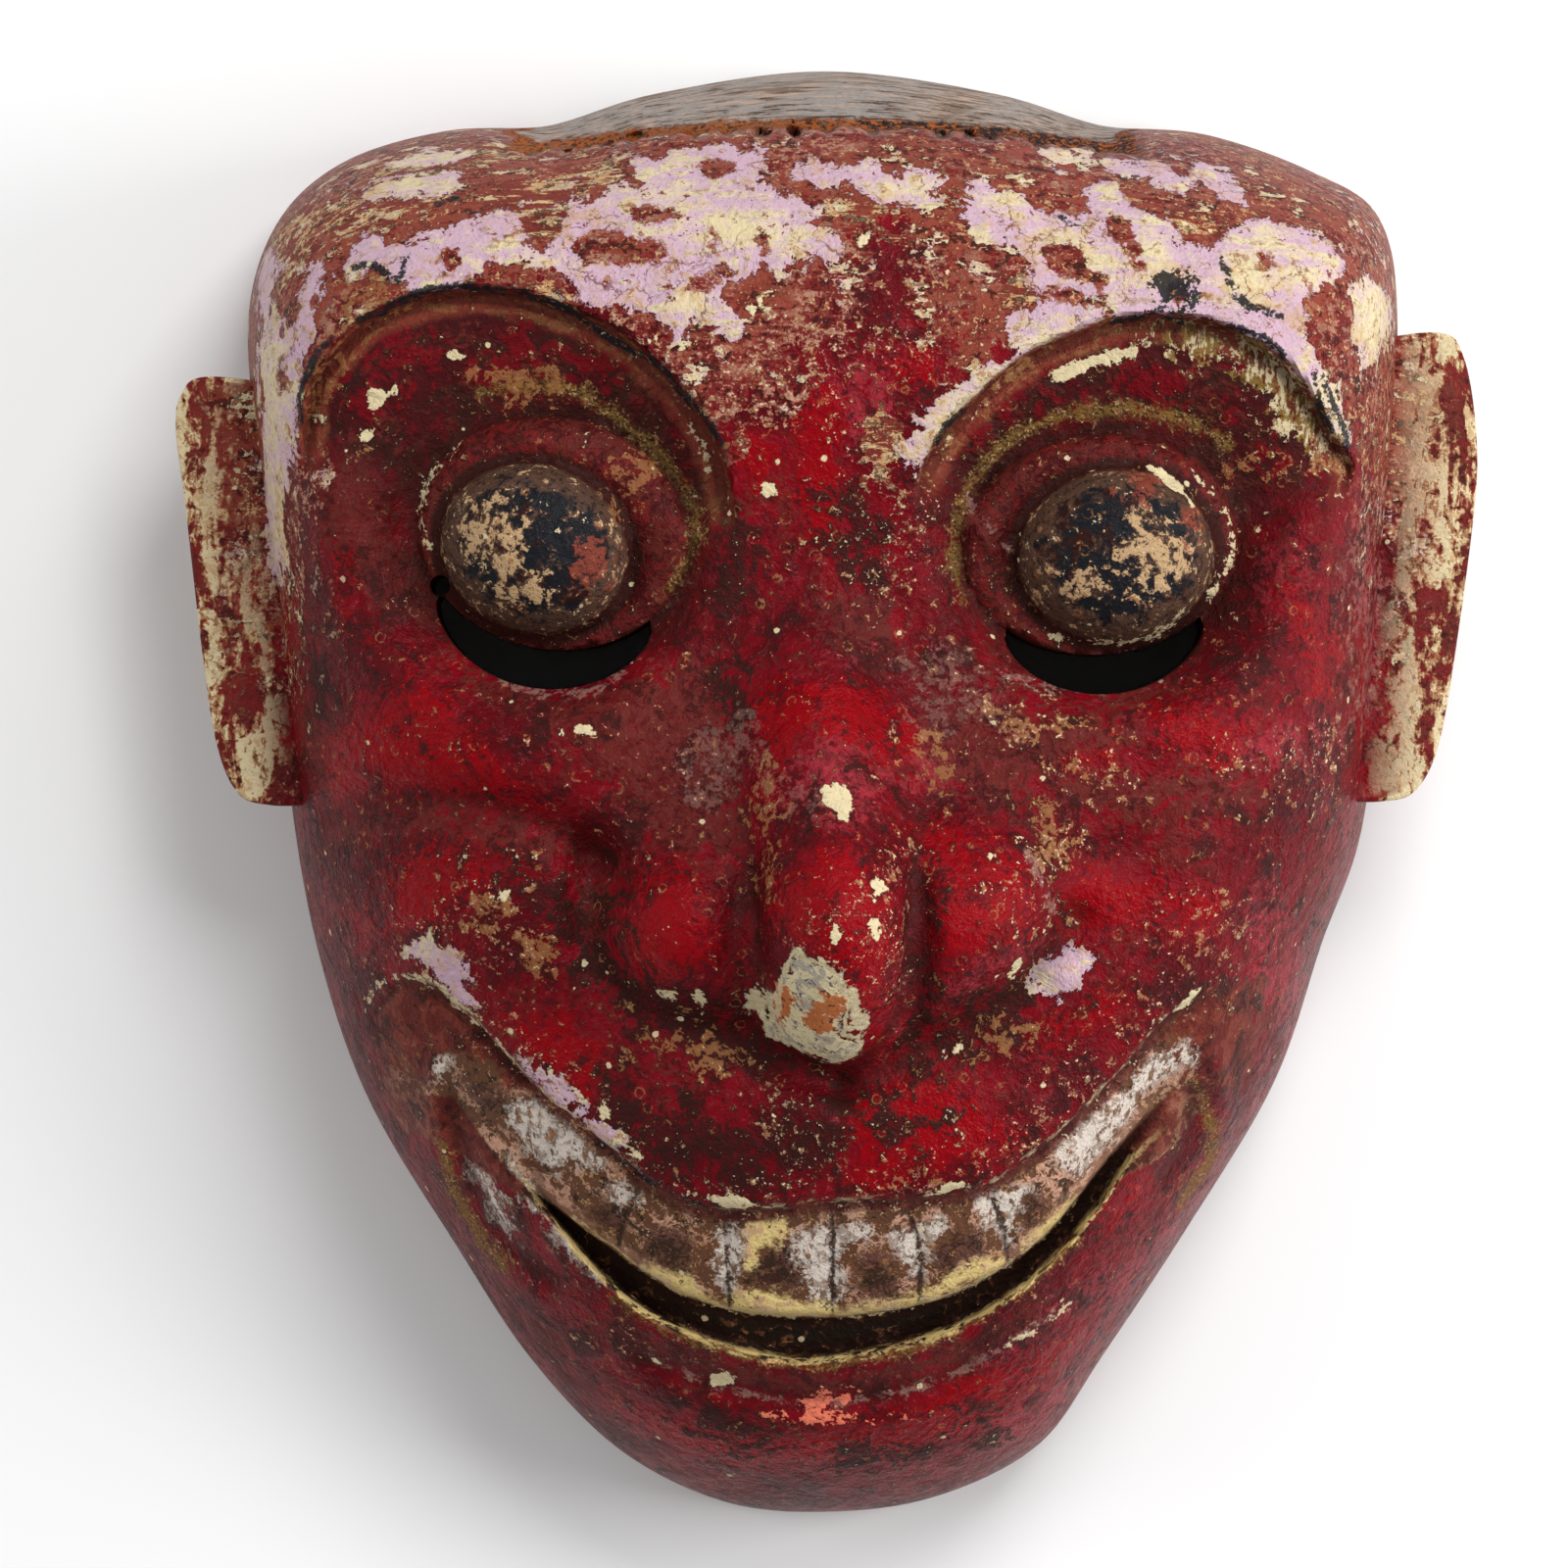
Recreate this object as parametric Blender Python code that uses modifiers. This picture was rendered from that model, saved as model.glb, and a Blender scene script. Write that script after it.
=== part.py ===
"""Carved wooden healer mask, lying face up on its flat back rim.

The mask is one piece of wood, hollow behind, with ears and bulging eyes carved in one with it.
Metres. +Z points out of the face, +Y to the crown, +X to the right of someone facing it.
"""

import math
from collections import namedtuple

import bmesh
import bpy
import numpy as np

MM = 0.001

Oval = namedtuple("Oval", "x y half_width half_height rise turn")
Line = namedtuple("Line", "points rise half_width")
Eye = namedtuple("Eye", "x y rim brow_from brow_to ring ball")
Slot = namedtuple("Slot", "start end width")

# Overall form.
WALL = 9.0 * MM
FRONT_WALL = 14.0 * MM
RIM_ALLOWANCE = 2.0 * MM
FOREHEAD_SQUARENESS = 7.5
JAW_SQUARENESS = 3.4
SQUARENESS_FROM = -30.0 * MM
SQUARENESS_TO = 40.0 * MM
EDGE_ROUNDING = 2.6

# Where the mask ends seen from the front, round from the crown by the left ear to the chin.
OUTLINE = (
    (0, 100.2), (-23.5, 97.1), (-38.8, 92.5), (-53, 91.5), (-66.4, 87.4), (-75.3, 79.7),
    (-79.7, 67.5), (-79.2, 51), (-76.2, 24.5), (-74.4, 0), (-70.5, -22.5), (-63.5, -43),
    (-51.2, -63.5), (-41, -79), (-28.6, -91.8), (-14.3, -99), (0, -100.5), (15.3, -98.4),
    (29.6, -91.2), (38.8, -78.4), (51.2, -59.5), (62.5, -40.5), (69, -21.5), (75, -3), (77.3, 30.7),
    (79.2, 63.4), (76.8, 79.2), (67.5, 85.8), (53, 91), (38.8, 92.5), (23.5, 97.1),
)
# Height of the middle of the face above the back rim, by the distance up the face.
MIDDLE = (
    (-98, 58), (-85, 62), (-60, 66), (-30, 66), (0, 64), (30, 65), (55, 69), (75, 67), (98, 56),
)

# The forehead ends in a ledge, with the bare crown lower behind it.
LEDGE_Y = 89.2 * MM
LEDGE_SAG = 2.5 * MM
LEDGE_HALF_WIDTH = 37.0 * MM
LEDGE_DROP = 13.0 * MM
LEDGE_STEEP = 1.2 * MM

# Swellings of the face.
CHEEKS = (
    Oval(-36, 6, 26, 14, 4.5, -8),
    Oval(38, 6, 26, 15, 4.5, 8),
    Oval(-46, -17, 17, 11, 3.5, -25),
    Oval(45, -17, 17, 12, 3.5, 25),
    Oval(1, -46, 34, 13, 4.0, 0),
    Oval(1, -89, 22, 8, 3.0, 0),
)
NOSE = (
    Oval(0, -16, 27, 22, 6.0, 0),
    Oval(-1, 11, 10, 12, 6.0, 0),
    Oval(0, -4, 11, 15, 3.0, 0),
    Oval(2.5, -18.5, 17, 15, 7.5, 0),
    Oval(-20.5, -18.5, 8, 11.5, 8.2, 8),
    Oval(21, -16, 11.5, 13.5, 8.0, -8),
)
NOSE_TIP = Oval(0.7, -20.5, 9.3, 15.8, 10.5, 0)
BRIDGE_LENGTH = 38.5 * MM
BRIDGE_SPREAD = 0.6
EGG_POWER = 0.5
BRIDGE_POWER = 1.8

# Creases are sunk, ribs are raised.
LINES = (
    Line(((-66, -3), (-57, -1), (-45, -2.3), (-36, -5), (-27, -11)), -2.6, 3.2),
    Line(((24, -4), (31, -8), (40, -8)), -1.2, 3.5),
    Line(((-31, -9), (-31, -20), (-24, -28), (-12, -32.5), (1, -38), (13, -34), (27, -24), (32, -17)),
         -3.6, 3.4),
    Line(((-11, -12), (-12, -21), (-9.5, -31)), -1.3, 1.8),
    Line(((12, -12), (12.5, -21), (11, -31)), -1.3, 1.8),
    Line(((-24, -76), (-15, -79.5), (-2, -82), (10, -80.5), (18, -77.5)), -1.8, 2.2),
    Line(((-53, -38), (-53.2, -46), (-50.2, -56.5), (-45, -64.5), (-39.5, -69)), 1.7, 2.0),
    Line(((-50, -43), (-48, -51), (-43.5, -59.5), (-37, -65.5)), -1.8, 1.8),
    Line(((52.5, -37), (54, -44.5), (51.5, -54), (46.3, -60.5)), 1.7, 2.0),
    Line(((49, -41), (48.5, -47), (45.5, -52)), -1.6, 1.8),
)

# The grin, from its upper edge down: lip, teeth, blind groove, lower lip.
LIP_EDGE = (
    (-61, -30), (-56, -25), (-48, -29.5), (-38, -40), (-29, -47), (-20, -54), (-11, -55.5),
    (1, -54.3), (17, -53.3), (25, -50), (37, -39.5), (45, -30.5), (52, -26),
)
TOOTH_EDGE = ((-50, -41), (-42, -51), (-31, -60), (-20, -67.5), (1, -70), (18, -67), (29, -59.5),
              (36, -50.5), (46, -40))
GROOVE_EDGE = ((-52, -43), (-42, -50), (-34, -60), (-25, -69), (-11, -75), (-3, -76.3), (18, -71.5),
               (30, -63), (41, -49), (50, -41))
LIP_STEP = 3.4 * MM
TOOTH_BULGE = 1.2 * MM
GROOVE_DEPTH = 5.0 * MM
GRIN_LEFT = -57.0 * MM
GRIN_RIGHT = 49.0 * MM
GRIN_FADE = 6.0 * MM
GROOVE_LEFT = -40.0 * MM
GROOVE_RIGHT = 42.0 * MM
GROOVE_FADE = 5.0 * MM
CORNER_SOFTNESS = 6.0 * MM
EDGE_STEEP = 0.7 * MM

# Eye hollows: the radius of each rim by the angle round the eye.
HOLLOW_DEPTH = 10.5 * MM
BROW_STEP_SHARE = 0.5
BROW_STEEP_SHARE = 0.045
HOLLOW_FLOOR_SHARE = 0.45
BROW_FADE = 9.0
LEFT_EYE = Eye(
    -38.7, 32.6,
    ((12, 27.2), (34, 28), (54, 29), (82, 32), (110, 36.3), (127, 38.2), (144, 37.7), (155, 35),
     (180, 30), (220, 27), (270, 26), (320, 25.5)),
    10, 158,
    Oval(-36.5, 34.3, 18.2, 15.4, 6.5, -12),
    Oval(-38.9, 32.2, 12.6, 11.0, 8.0, -20),
)
RIGHT_EYE = Eye(
    38.7, 31.3,
    ((0, 28), (21, 34.5), (30, 33.3), (50, 34.3), (71, 33.5), (87, 32), (102, 30.3), (131, 28.6),
     (157, 29), (180, 28), (220, 26), (270, 25), (320, 25)),
    19, 160,
    Oval(36.5, 32.8, 18.4, 14.6, 6.5, 6),
    Oval(38.5, 31.2, 13.0, 11.4, 8.0, 5),
)
EYES = (LEFT_EYE, RIGHT_EYE)
RING_EDGE_POWER = 3.2

# Slots cut right through under the eyes, along the lower edge of each ring, and a small hole.
SLOTS = (Slot(224, 326, 5.4), Slot(222, 312, 5.4))
SLOT_STEPS = 16
SLOT_END_POWER = 0.55
HOLE_X = -51.6 * MM
HOLE_Y = 27.4 * MM
HOLE_RADIUS = 1.4 * MM
HOLE_SEGMENTS = 12

# Ears: flat slabs set back on the sides, leaning back.
LEFT_EAR = ((-71, 55), (-84, 56.5), (-87.6, 54), (-88.3, 49), (-87, 39), (-84.5, 18), (-82.5, 6),
            (-79.5, -0.5), (-75, -2), (-70, -2))
RIGHT_EAR = ((71, 61), (83, 62.5), (86.5, 59.5), (88.3, 50), (88.2, 39), (85, 16), (82.7, 5),
             (79.5, -0.3), (75, -1.5), (70, -1.5))
EAR_THICKNESS = 9.0 * MM
EAR_Z = 27.0 * MM
EAR_LEAN = 10.0
EAR_ROUNDING = 2.6 * MM
EAR_ROUNDING_SEGMENTS = 3

# Mesh density.
GRID_CUTS = 131
FRONT_SHARE = 0.8
EDGE_CROWDING = 0.35
EDGE_CROWDING_POWER = 3.5
CURVE_STEPS = 8
KEPT_SHARE = 0.031

WOOD_COLOUR = (0.19, 0.022, 0.026, 1.0)
WOOD_ROUGHNESS = 0.42


def clear_scene():
    """Remove every object, so that the file holds only the mask."""
    for item in list(bpy.data.objects):
        bpy.data.objects.remove(item, do_unlink=True)


def new_collection(name):
    """Add a collection to the scene."""
    group = bpy.data.collections.new(name)
    bpy.context.scene.collection.children.link(group)
    return group


def ease(low, high, value):
    """Rise smoothly from 0 at low to 1 at high."""
    share = np.clip((value - low) / (high - low), 0.0, 1.0)
    return share * share * (3.0 - 2.0 * share)


def smooth_path(points, closed=False):
    """Return many points, in metres, on a smooth curve through a few points in millimetres."""
    few = np.array(points, dtype=float) * MM
    if closed:
        few = np.vstack((few[-1:], few, few[:2]))
    else:
        few = np.vstack((2 * few[:1] - few[1:2], few, 2 * few[-1:] - few[-2:-1]))
    share = np.linspace(0.0, 1.0, CURVE_STEPS, endpoint=False)[:, None]
    spans = []
    for before, start, end, after in zip(few, few[1:], few[2:], few[3:]):
        pull = (end - before) * share
        turn = (2 * before - 5 * start + 4 * end - after) * share**2
        close = (3 * start - before - 3 * end + after) * share**3
        spans.append(start + 0.5 * (pull + turn + close))
    return np.vstack(spans + [few[-2:-1]])


def outline_radius(angle):
    """Return the distance from the middle to the outline at an angle."""
    path = smooth_path(OUTLINE, closed=True)
    around = np.arctan2(path[:, 1], path[:, 0])
    order = np.argsort(around)
    reach = np.hypot(path[:, 0], path[:, 1])[order]
    return np.interp(angle, around[order], reach, period=2 * math.pi)


def along(points, x):
    """Return the height on the page of a smooth curve at each x."""
    path = smooth_path(points)
    return np.interp(x, path[:, 0], path[:, 1])


def oval_reach(form, x, y):
    """Return the distance from the middle of an oval, as a share of its radius."""
    turn = math.radians(form.turn)
    across = x - form.x * MM
    up = y - form.y * MM
    wide = (across * math.cos(turn) + up * math.sin(turn)) / (form.half_width * MM)
    tall = (up * math.cos(turn) - across * math.sin(turn)) / (form.half_height * MM)
    return np.hypot(wide, tall)


def mounds(forms, x, y):
    """Return the height that soft swellings add."""
    total = np.zeros_like(x)
    for form in forms:
        total += form.rise * MM * np.exp(-oval_reach(form, x, y) ** 2.4)
    return total


def eyeball(form, x, y):
    """Return the height of half an egg standing on the face."""
    reach = np.clip(oval_reach(form, x, y), 0.0, 1.0)
    return form.rise * MM * (1.0 - reach**2) ** EGG_POWER


def nose_tip(form, x, y):
    """Return the height of the nose's egg-shaped tip, which runs up softly into the bridge."""
    up = y - form.y * MM
    bridge = ease(0.0, BRIDGE_LENGTH, up)
    wide = (x - form.x * MM) / (form.half_width * MM * (1.0 + BRIDGE_SPREAD * bridge))
    down = np.clip(-up / (form.half_height * MM), 0.0, 1.0)
    egg = np.clip(1.0 - wide**2 - down**2, 0.0, 1.0)
    return form.rise * MM * egg ** (EGG_POWER + (BRIDGE_POWER - EGG_POWER) * bridge) * (1.0 - bridge)


def ring(form, x, y):
    """Return the height of a flat disc with a rounded edge."""
    reach = np.clip(oval_reach(form, x, y), 0.0, 1.0)
    return form.rise * MM * np.sqrt(1.0 - reach**RING_EDGE_POWER)


def line_relief(line, x, y):
    """Return the height of a crease or rib along a curve."""
    path = smooth_path(line.points)
    nearest = np.full_like(x, np.inf)
    for start, end in zip(path, path[1:]):
        step = end - start
        share = ((x - start[0]) * step[0] + (y - start[1]) * step[1]) / float(step @ step)
        share = np.clip(share, 0.0, 1.0)
        gap = np.hypot(x - start[0] - share * step[0], y - start[1] - share * step[1])
        nearest = np.minimum(nearest, gap)
    return line.rise * MM * np.exp(-((nearest / (line.half_width * MM)) ** 2))


def hollow(eye, x, y):
    """Return the depth of an eye hollow: a step under the brow, then a bowl."""
    across = x - eye.x * MM
    up = y - eye.y * MM
    angle = np.degrees(np.arctan2(up, across)) % 360.0
    rim = np.array(eye.rim, dtype=float)
    reach = np.hypot(across, up) / (np.interp(angle, rim[:, 0], rim[:, 1], period=360.0) * MM)
    bowl = 1.0 - ease(HOLLOW_FLOOR_SHARE, 1.0, reach)
    step = 1.0 - ease(1.0 - BROW_STEEP_SHARE, 1.0, reach)
    under_brow = ease(eye.brow_from - BROW_FADE, eye.brow_from + BROW_FADE, angle)
    under_brow = under_brow * (1.0 - ease(eye.brow_to - BROW_FADE, eye.brow_to + BROW_FADE, angle))
    stepped = BROW_STEP_SHARE * step + (1.0 - BROW_STEP_SHARE) * bowl
    return HOLLOW_DEPTH * (under_brow * stepped + (1.0 - under_brow) * bowl)


def between(left, right, fade, x):
    """Return 1 between two sides and 0 beyond them, with a soft change of a given half width."""
    return ease(left - fade, left + fade, x) * (1.0 - ease(right - fade, right + fade, x))


def grin(x, y):
    """Return the depth of the mouth: teeth set behind the lip, and a groove under them."""
    groove = between(GROOVE_LEFT, GROOVE_RIGHT, GROOVE_FADE, x)
    lip_line = along(LIP_EDGE, x)
    tooth_line = along(TOOTH_EDGE, x)
    below_lip = ease(-EDGE_STEEP, EDGE_STEEP, lip_line - y)
    below_teeth = ease(-EDGE_STEEP, EDGE_STEEP, tooth_line - y)
    soft = EDGE_STEEP + CORNER_SOFTNESS * (1.0 - groove)
    in_mouth = ease(-soft, soft, y - along(GROOVE_EDGE, x))
    band = np.clip((y - tooth_line) / (lip_line - tooth_line + MM), 0.0, 1.0)
    teeth = LIP_STEP - TOOTH_BULGE * np.sin(math.pi * band)
    sides = between(GRIN_LEFT, GRIN_RIGHT, GRIN_FADE, x)
    return in_mouth * (below_lip * teeth * sides + below_teeth * GROOVE_DEPTH * groove)


def ledge(x, y):
    """Return the drop from the forehead's upper edge to the crown behind it."""
    edge = LEDGE_Y - LEDGE_SAG * (x / LEDGE_HALF_WIDTH) ** 2
    across = 1.0 - ease(LEDGE_HALF_WIDTH, LEDGE_HALF_WIDTH + WALL, np.abs(x))
    return LEDGE_DROP * across * ease(-LEDGE_STEEP, LEDGE_STEEP, y - edge)


def broad_height(x, y):
    """Return the height of the middle of the face with its large swellings and hollows."""
    height = along(MIDDLE, y) + mounds(CHEEKS, x, y) + mounds(NOSE, x, y)
    for eye in EYES:
        reach = np.hypot(x - eye.x * MM, y - eye.y * MM) / (max(eye.rim)[1] * MM)
        height = height - HOLLOW_DEPTH * (1.0 - ease(HOLLOW_FLOOR_SHARE, 1.0, reach))
    return height


def carved_height(x, y):
    """Return the height of the carved face before its edges turn back."""
    height = along(MIDDLE, y) + mounds(CHEEKS, x, y) + mounds(NOSE, x, y)
    height = height + nose_tip(NOSE_TIP, x, y)
    for line in LINES:
        height = height + line_relief(line, x, y)
    for eye in EYES:
        height = height - hollow(eye, x, y)
        height = height + ring(eye.ring, x, y) + eyeball(eye.ball, x, y)
    return height - grin(x, y) - ledge(x, y)


def turned_back(share, y):
    """Return how far the edge has turned back, 1 in the middle and 0 at the outline."""
    square = JAW_SQUARENESS + (FOREHEAD_SQUARENESS - JAW_SQUARENESS) * ease(
        SQUARENESS_FROM, SQUARENESS_TO, y)
    return np.clip(1.0 - share**square, 0.0, 1.0) ** (1.0 / EDGE_ROUNDING)


def shell_place(cube):
    """Move points of a cube from -1 to 1 onto the mask's skin, upper half outside, lower inside."""
    row = 2.0 / (GRID_CUTS + 1)
    flat_x = cube[:, 0] * np.sqrt(1.0 - cube[:, 1] ** 2 / 2.0)
    flat_y = cube[:, 1] * np.sqrt(1.0 - cube[:, 0] ** 2 / 2.0)
    angle = np.arctan2(flat_y, flat_x)
    down = 1.0 - np.abs(cube[:, 2])
    inside = cube[:, 2] < -row / 2.0
    down = np.where(inside, down / (1.0 - row), down)
    step = FRONT_SHARE * np.hypot(flat_x, flat_y) + (1.0 - FRONT_SHARE) * down
    share = (1.0 + EDGE_CROWDING) * step - EDGE_CROWDING * step**EDGE_CROWDING_POWER
    share = np.clip(share, 0.0, 1.0)
    reach = share * np.where(inside, outline_radius(angle) - WALL, outline_radius(angle))
    x = reach * np.cos(angle)
    y = reach * np.sin(angle)
    top = np.where(inside, broad_height(x, y) - FRONT_WALL, carved_height(x, y))
    return np.stack((x, y, top * turned_back(share, y) - RIM_ALLOWANCE), axis=1)


def link(name, mesh, group):
    """Add a mesh to a collection as an object."""
    item = bpy.data.objects.new(name, mesh)
    group.objects.link(item)
    return item


def make_shell(group):
    """Make the hollow body: a finely divided cube whose points are moved onto the skin."""
    form = bmesh.new()
    bmesh.ops.create_cube(form, size=2.0)
    bmesh.ops.subdivide_edges(form, edges=form.edges[:], cuts=GRID_CUTS, use_grid_fill=True)
    mesh = bpy.data.meshes.new("mask")
    form.to_mesh(mesh)
    form.free()
    places = np.empty(len(mesh.vertices) * 3)
    mesh.vertices.foreach_get("co", places)
    moved = shell_place(places.reshape(-1, 3))
    mesh.vertices.foreach_set("co", moved.ravel())
    mesh.update()
    return link("mask", mesh, group)


def make_slab(name, path, low, high, group):
    """Make a flat slab with a given outline between two heights."""
    form = bmesh.new()
    loop = bmesh.ops.create_circle(form, cap_ends=True, segments=len(path), radius=WALL)["verts"]
    for vertex, (x, y) in zip(loop, path):
        vertex.co = (x, y, low)
    lifted = bmesh.ops.extrude_face_region(form, geom=form.faces[:])["geom"]
    top = [part for part in lifted if isinstance(part, bmesh.types.BMVert)]
    bmesh.ops.translate(form, vec=(0.0, 0.0, high - low), verts=top)
    bmesh.ops.recalc_face_normals(form, faces=form.faces[:])
    mesh = bpy.data.meshes.new(name)
    form.to_mesh(mesh)
    form.free()
    return link(name, mesh, group)


def make_ear(name, points, side, group):
    """Make one ear, rounded at its edges and leaning back towards its outer side."""
    path = smooth_path(points)
    root = path[0, 0]
    path = path - (root, 0.0)
    ear = make_slab(name, path, -EAR_THICKNESS / 2.0, EAR_THICKNESS / 2.0, group)
    ear.location = (root, 0.0, EAR_Z)
    ear.rotation_euler = (0.0, side * math.radians(EAR_LEAN), 0.0)
    rounding = ear.modifiers.new("rounding", "BEVEL")
    rounding.width = EAR_ROUNDING
    rounding.segments = EAR_ROUNDING_SEGMENTS
    rounding.angle_limit = math.radians(60.0)
    return ear


def slot_path(form, slot):
    """Return the outline of a slot: the ring's lower edge, and back along a wider curve."""
    share = np.linspace(0.0, 1.0, SLOT_STEPS)
    angle = np.radians(slot.start + (slot.end - slot.start) * share)
    turn = math.radians(form.turn)
    width = np.sin(math.pi * share) ** SLOT_END_POWER * slot.width
    sides = []
    for extra in (np.zeros_like(share), width):
        wide = (form.half_width + extra) * np.cos(angle)
        tall = (form.half_height + extra) * np.sin(angle)
        x = form.x + wide * math.cos(turn) - tall * math.sin(turn)
        y = form.y + wide * math.sin(turn) + tall * math.cos(turn)
        sides.append(np.stack((x, y), axis=1) * MM)
    return np.vstack((sides[0], sides[1][-2:0:-1]))


def make_cutters(group):
    """Make what is cut away: two slots, a small hole, and all that is below the back rim."""
    middle = along(MIDDLE, LEFT_EYE.y * MM)
    low = middle - FRONT_WALL - HOLLOW_DEPTH - WALL
    high = middle + FRONT_WALL
    cutters = []
    for eye, slot, side in zip(EYES, SLOTS, ("left", "right")):
        path = slot_path(eye.ring, slot)
        cutters.append(make_slab(f"{side}_slot_cutter", path, low, high, group))
    around = np.linspace(0.0, 2.0 * math.pi, HOLE_SEGMENTS, endpoint=False)
    hole = np.stack((HOLE_X + HOLE_RADIUS * np.cos(around), HOLE_Y + HOLE_RADIUS * np.sin(around)), axis=1)
    cutters.append(make_slab("hole_cutter", hole, low, high, group))
    reach = float(np.abs(smooth_path(OUTLINE)).max()) + WALL
    below = reach * np.array(((-1, -1), (1, -1), (1, 1), (-1, 1)))
    cutters.append(make_slab("rim_cutter", below, -reach, 0.0, group))
    for cutter in cutters:
        cutter.hide_render = True
        cutter.display_type = "WIRE"
    return cutters


def combine(body, other, operation):
    """Add a Boolean modifier to the body."""
    change = body.modifiers.new(other.name, "BOOLEAN")
    change.operation = operation
    change.solver = "EXACT"
    change.object = other


def painted_wood():
    """Make the mask's material."""
    material = bpy.data.materials.new("painted_wood")
    material.use_nodes = True
    shader = material.node_tree.nodes["Principled BSDF"]
    shader.inputs["Base Color"].default_value = WOOD_COLOUR
    shader.inputs["Roughness"].default_value = WOOD_ROUGHNESS
    shader.inputs["Metallic"].default_value = 0.0
    return material


def main():
    """Build the mask."""
    clear_scene()
    mask_group = new_collection("healer_mask")
    cutter_group = new_collection("cutters")
    body = make_shell(mask_group)
    body.data.materials.append(painted_wood())
    thinning = body.modifiers.new("thinning", "DECIMATE")
    thinning.ratio = KEPT_SHARE
    ears = (
        make_ear("left_ear_form", LEFT_EAR, -1.0, cutter_group),
        make_ear("right_ear_form", RIGHT_EAR, 1.0, cutter_group),
    )
    for ear in ears:
        ear.hide_render = True
        ear.display_type = "WIRE"
        combine(body, ear, "UNION")
    for cutter in make_cutters(cutter_group):
        combine(body, cutter, "DIFFERENCE")


main()
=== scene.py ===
"""Looks of a carved wooden healer mask: fine carving and many layers of worn paint.

The mask lies face up on a pale floor, seen from straight above. Metres, with +Z out of the face,
+Y to the crown and +X to the right of the picture. Sizes of the carving are in millimetres.
"""

import logging
import math
from dataclasses import dataclass, field
from enum import Enum

import bmesh
import bpy
import numpy as np
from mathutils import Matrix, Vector


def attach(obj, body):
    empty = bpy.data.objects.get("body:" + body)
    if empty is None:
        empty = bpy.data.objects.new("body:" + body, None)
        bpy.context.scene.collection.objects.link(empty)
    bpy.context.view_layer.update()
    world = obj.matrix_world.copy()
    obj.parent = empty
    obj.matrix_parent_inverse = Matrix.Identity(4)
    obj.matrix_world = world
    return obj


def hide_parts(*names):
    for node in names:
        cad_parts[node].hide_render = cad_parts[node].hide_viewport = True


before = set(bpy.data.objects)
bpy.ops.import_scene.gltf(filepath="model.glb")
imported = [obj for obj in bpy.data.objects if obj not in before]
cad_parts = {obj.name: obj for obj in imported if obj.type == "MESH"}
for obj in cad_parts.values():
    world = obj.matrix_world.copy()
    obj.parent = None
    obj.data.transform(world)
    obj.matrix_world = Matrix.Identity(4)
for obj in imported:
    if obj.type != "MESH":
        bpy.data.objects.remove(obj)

log = logging.getLogger("healer_mask")

MM = 0.001
NOISE_SPREAD = 2.6
Array = np.ndarray
Socket = bpy.types.NodeSocket
Points = tuple[tuple[float, float], ...]
Colour = tuple[float, float, float]
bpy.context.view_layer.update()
TOOTH_GAPS: tuple[Points, ...] = (
    ((-13.6, -57), (-13.2, -62), (-13, -69)),
    ((0.6, -56), (0.9, -70)),
    ((11, -56), (12.3, -61), (12.5, -68.5)),
    ((22, -54), (23.4, -58), (24.4, -63)),
)


def ease(low: float, high: float, value: Array) -> Array:
    """Rise smoothly from 0 at a low value to 1 at a high one."""
    share = np.clip((value - low) / (high - low), 0.0, 1.0)
    return share * share * (3.0 - 2.0 * share)


def between(left: float, right: float, fade: float, value: Array) -> Array:
    """Return 1 between two sides and 0 beyond them, with a soft change of a given half width."""
    return ease(left - fade, left + fade, value) * (1.0 - ease(right - fade, right + fade, value))


def line_gap(start: Array, end: Array, x: Array, y: Array) -> Array:
    """Return the distance of each place from the straight line between two points.

    Args:
        start: One end of the line.
        end: The other end.
        x: Places across.
        y: Places up.

    Returns:
        The distance of each place.
    """
    step = end - start
    share = ((x - start[0]) * step[0] + (y - start[1]) * step[1]) / float(step @ step)
    share = np.clip(share, 0.0, 1.0)
    return np.hypot(x - start[0] - share * step[0], y - start[1] - share * step[1])


def near_points(points: Array, margin: float, x: Array, y: Array) -> Array:
    """Return which places lie in the box round some points, widened by a margin."""
    low, high = points.min(axis=0) - margin, points.max(axis=0) + margin
    return (x > low[0]) & (x < high[0]) & (y > low[1]) & (y < high[1])


def lumps(x: Array, y: Array, size: float, seed: int) -> Array:
    """Return smooth, even unevenness from -1 to 1, as a knife leaves it.

    Args:
        x: Places across, in millimetres.
        y: Places up, in millimetres.
        size: The usual size of a lump, in millimetres.
        seed: Which pattern of lumps.

    Returns:
        The unevenness at each place.
    """
    cells = 128
    table = np.random.default_rng(seed).uniform(-1.0, 1.0, (cells, cells))
    across = x / size + cells / 2.0
    up = y / size + cells / 2.0
    column = np.floor(across).astype(int)
    row = np.floor(up).astype(int)
    right = ease(0.0, 1.0, across - column)
    above = ease(0.0, 1.0, up - row)
    left_low = table[row % cells, column % cells]
    right_low = table[row % cells, (column + 1) % cells]
    left_high = table[(row + 1) % cells, column % cells]
    right_high = table[(row + 1) % cells, (column + 1) % cells]
    low = left_low + (right_low - left_low) * right
    high = left_high + (right_high - left_high) * right
    return low + (high - low) * above


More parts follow.
